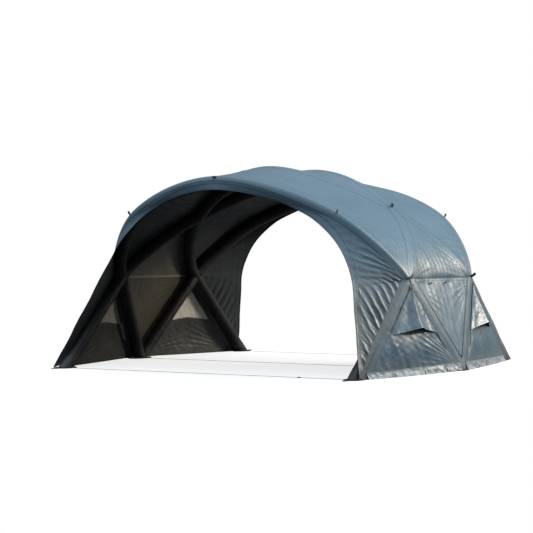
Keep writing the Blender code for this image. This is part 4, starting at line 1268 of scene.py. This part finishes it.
def make_toggle(name, side):
    """A waisted bar, with a cord round its waist that goes down into the door."""
    normal, at = wall_out(side), Vector(JOINTS[f"toggle_{name}_turn"]["pos_m"])
    half, r = 0.0275, 0.008
    upper = [(0.002, half), (r * 0.55, half - 0.0004), (r * 0.84, half - 0.0022), (r, half - 0.006), (r, 0.0075),
             (r * 0.9, 0.0055), (r * 0.64, 0.0032)]
    outline = [*upper, (r * 0.6, 0.0), *((x, -z) for x, z in reversed(upper))]
    turned_piece(f"toggle_{name}", outline, at, normal, (0, 1, 0), f"door_toggle_{name}", (f"door_toggle_{name}",), 28)
    out = Vector(normal)
    down = Vector((0, 1, 0)).cross(out)
    loop = [at + out * (0.0078 * math.cos(a)) + down * (0.0078 * math.sin(a))
            for a in np.linspace(0.82 * math.pi, -0.82 * math.pi, 14)]
    cord = [at + down * 0.0024 - out * 0.0115] + loop + [at - down * 0.0024 - out * 0.0115]
    wire_piece(f"toggle_cord_{name}", cord, 0.0018, WEBBING, f"door_toggle_{name}", WEB)


def make_slider(name, side):
    """The zip's slider: a shield-shaped body, a pull tab with an eye and a cord through it."""
    normal, up = Vector(wall_out(side)), Vector(JOINTS[f"zip_{name}_slide"]["axis"])
    node = f"zip_slider_{name}"
    axes = frame_axes(up.cross(normal), normal, centre_and_size(node)[0] + up * 0.012 - normal * 0.003)
    half = [(0.0062, -0.008), (0.0074, 0.002), (0.0080, 0.009), (0.003, 0.0105)]
    outline = [(-0.0062, -0.008), *half, *((-x, y) for x, y in half[:0:-1])]
    plate_piece(f"slider_body_{name}", (outline,), 0.006, 0.0011, axes @ Matrix.Translation((0, 0, 0.003)), STEEL,
                node, (node,))
    eye = [(0.0022 * math.cos(a), 0.0022 * math.sin(a) - 0.0095) for a in np.linspace(0, TAU, 14, endpoint=False)]
    plate_piece(f"slider_tab_{name}", (rounded_box(0.0048, 0.0145, 0.0035), eye), 0.0018, 0.0006,
                axes @ Matrix.Translation((0, -0.0175, 0.0066)), STEEL, node)
    pull = [(0, -0.026, 0.0066), (0.003, -0.040, 0.006), (0.0035, -0.058, 0.005), (0, -0.066, 0.005),
            (-0.0035, -0.058, 0.005), (-0.003, -0.040, 0.006)]
    wire_piece(f"slider_cord_{name}", [axes @ Vector(p) for p in pull], 0.0014, WEBBING, node, WEB, cyclic=True)


def make_valve():
    """The inflation valve's collar on the inner side of the front right leg, and its fluted lid."""
    leg, t = long_arch(FRONT), np.array(leg_t(RIGHT, 0.55))
    along = heading(leg, t)
    out = np.array((-1.0, 0.0, 0.0))
    out = unit(out - along * np.dot(out, along))
    at = leg(t) + out * (TUBE_R + 0.001)
    r, h = 0.024, 0.016
    collar = [(r * 0.3, h - 0.005), (r * 0.6, h - 0.005), (r * 0.64, h - 0.001), (r * 0.7, h), (r * 0.84, h),
              (r * 0.96, h - 0.0015), (r, h - 0.004), (r, 0.0055), (r * 1.08, 0.004), (r * 1.38, 0.003),
              (r * 1.45, 0.0018), (r * 1.45, 0.0)]
    lid = [(r * 0.3, 0.0066), (r * 0.62, 0.0068), (r * 0.7, 0.0062), (r * 0.86, 0.0064), (r * 0.96, 0.0054),
           (r, 0.0036), (r, 0.0012), (r * 0.97, 0.0002), (r * 0.5, 0.0)]
    turned_piece("valve_collar", collar, at, along, out, "shelter", ("valve_body",), 56)
    turned_piece("valve_lid", lid, at + out * (h + 0.001), along, out, "valve_cap", ("valve_cap",), 64, 16, 0.0012)


def make_small_parts():
    for side, side_name in SIDES:
        for _, end_name in ENDS:
            make_toggle(f"{end_name}_{side_name}", side)
        make_slider(side_name, side)
    turn = Matrix.Translation((0, 0, 0.041)) @ Matrix(((1, 0, 0), (0, 0, 1), (0, 1, 0))).to_4x4()
    for end, side, place in CORNERS:
        joint = JOINTS[f"vent_prop_{place}_fold"]
        matrix = frame_axes(joint["axis"], wall_normal(end, side), joint["pos_m"])
        plate_piece(f"prop_batten_{place}", (rounded_box(0.011, 0.044, 0.010),), 0.006, 0.0016, matrix @ turn, PLASTIC,
                    f"vent_prop_{place}", (f"vent_prop_{place}",))
    make_valve()


def tab_piece(name, at, up, along, length, width, lean):
    """A stay loop: a short tape folded double and standing off its seam."""
    up, along = unit(np.array(up, float)), np.array(along, float)
    along = unit(along - up * np.dot(along, up))
    rise = unit(up + along * lean)
    face = unit(np.cross(rise, np.cross(up, along)))
    u = np.linspace(0, TAU, 26)[:, None]
    reach = 0.5 - 0.5 * np.cos(u)
    line = at + rise * reach * length + face * 0.0042 * np.sin(u) * (0.3 + reach) - up * 0.002
    facing = unit(np.cross(np.gradient(line, axis=0), np.cross(rise, face)))
    ribbon(name, line, facing, width, 0.0018, WEBBING)


def make_tabs():
    """Stay loops at the knees, along the arches and at the middle of each free edge."""
    for end, end_name in ENDS:
        apex = end_arch(end)(np.array(3.0)) + (0.0, end * 0.042, 0.080)
        tab_piece(f"stay_loop_apex_{end_name}", apex, (0, 0.46 * end, 0.88), (0, end, -0.5), 0.05, 0.045, 1.6)
    for end, side, place in CORNERS:
        for label, edge, t, *size in (("knee", end_edge(end), 1.0, 0.075, 0.038, 0.6),
                                      ("arch", end_edge(end), 1.93, 0.05, 0.026, 0.5),
                                      ("shoulder", long_edge(end), 2.03, 0.05, 0.026, 0.5)):
            t = np.array(leg_t(side, t))
            tab_piece(f"stay_loop_{label}_{place}", crest_point(edge, t), edge.crest(t),
                      heading(edge.line, t) * -side, *size)


# ------------------------------------------------------------------ stage

SKY = ((0.0, (0.065, 0.062, 0.055)), (1.0, (0.58, 0.76, 1.0)), (0.3, (0.145, 0.15, 0.15)), (0.62, (0.39, 0.49, 0.60)))


def add_object(name, data):
    obj = bpy.data.objects.new(name, data)
    bpy.context.scene.collection.objects.link(obj)
    return obj


def ground_material():
    """Pale ground that fades out away from the shelter and throws little light back up."""
    g = Graph("pale_ground", 0.85)
    far = g.node("VectorMath", 1, {"operation": "LENGTH"}, i0=g.node("TexCoord", 3))
    seen = g.node("LightPath", 0)
    pale = g.mix(g.patches(0.8, 3, 0.3, 0.7), (0.40, 0.40, 0.40), (0.43, 0.43, 0.42))
    return g.finish(Base_Color=g.mix(seen, (0.15, 0.155, 0.16), pale), Roughness=0.9,
                    Alpha=g.ramp(far, 3.2, 6.5, 1.0, 0.0), Emission_Color=(1.0, 1.0, 1.0),
                    Emission_Strength=g.times(seen, 0.74))


def area_light(name, at, target, size, power, colour):
    data = bpy.data.lights.new(name, "AREA")
    data.shape = "DISK"
    data.size = size
    data.energy = power
    data.color = colour
    light = add_object(name, data)
    light.location = at
    light.rotation_euler = (Vector(target) - Vector(at)).to_track_quat("-Z", "Y").to_euler()


def make_stage():
    mesh = bpy.data.meshes.new("ground")
    radius, count = 9.0, 96
    ring = [(radius * math.cos(a), radius * math.sin(a), 0.0) for a in (TAU * k / count for k in range(count))]
    mesh.from_pydata(ring, [], [tuple(range(count))])
    mesh.materials.append(ground_material())
    add_object("ground", mesh)

    world = bpy.data.worlds.new("studio")
    bpy.context.scene.world = world
    world.use_nodes = True
    tree = world.node_tree
    new, link = tree.nodes.new, tree.links.new
    seen, soft = tree.nodes["Background"], new("ShaderNodeBackground")
    seen.inputs["Color"].default_value = (1.0, 1.0, 1.0, 1.0)
    soft.inputs["Strength"].default_value = 1.35
    up, sky, choose = new("ShaderNodeSeparateXYZ"), new("ShaderNodeValToRGB"), new("ShaderNodeMixShader")
    stops = sky.color_ramp.elements
    for element, (where, tint) in zip((*stops, *(stops.new(where) for where, _ in SKY[2:])), SKY):
        element.position = where
        element.color = (*tint, 1.0)
    link(new("ShaderNodeTexCoord").outputs["Generated"], up.inputs[0])
    link(up.outputs["Z"], sky.inputs[0])
    link(sky.outputs[0], soft.inputs["Color"])
    link(new("ShaderNodeLightPath").outputs["Is Camera Ray"], choose.inputs[0])
    link(soft.outputs[0], choose.inputs[1])
    link(seen.outputs[0], choose.inputs[2])
    link(choose.outputs[0], tree.nodes["World Output"].inputs["Surface"])

    area_light("low_warm_key", (8.4, 8.6, 5.2), (1.2, 0.0, 1.0), 2.6, 720, (1.0, 0.87, 0.70))
    area_light("high_cool_fill", (7.6, 6.5, 8.2), (1.2, 0.0, 1.0), 6.0, 430, (0.80, 0.93, 1.0))


def make_camera():
    data = bpy.data.cameras.new("camera")
    data.lens = 121.6
    data.sensor_width = 36.0
    camera = add_object("camera", data)
    yaw, pitch, roll = math.radians(-29.67), math.radians(-0.583), 0.002
    ahead = Vector((math.sin(yaw) * math.cos(pitch), math.cos(yaw) * math.cos(pitch), math.sin(pitch)))
    camera.location = (11.275, -20.44, 1.499)
    camera.rotation_euler = (ahead.to_track_quat("-Z", "Y").to_matrix() @ Matrix.Rotation(roll, 3, "Z")).to_euler()
    bpy.context.scene.camera = camera


for make in (make_visors, make_roof, make_sides, make_walls, make_doors, make_bindings, make_hoods, make_zips,
             make_skirts, make_tubes, make_feet, make_straps, make_small_parts, make_tabs, make_stage, make_camera):
    make()
bpy.context.scene.view_settings.view_transform = "Standard"
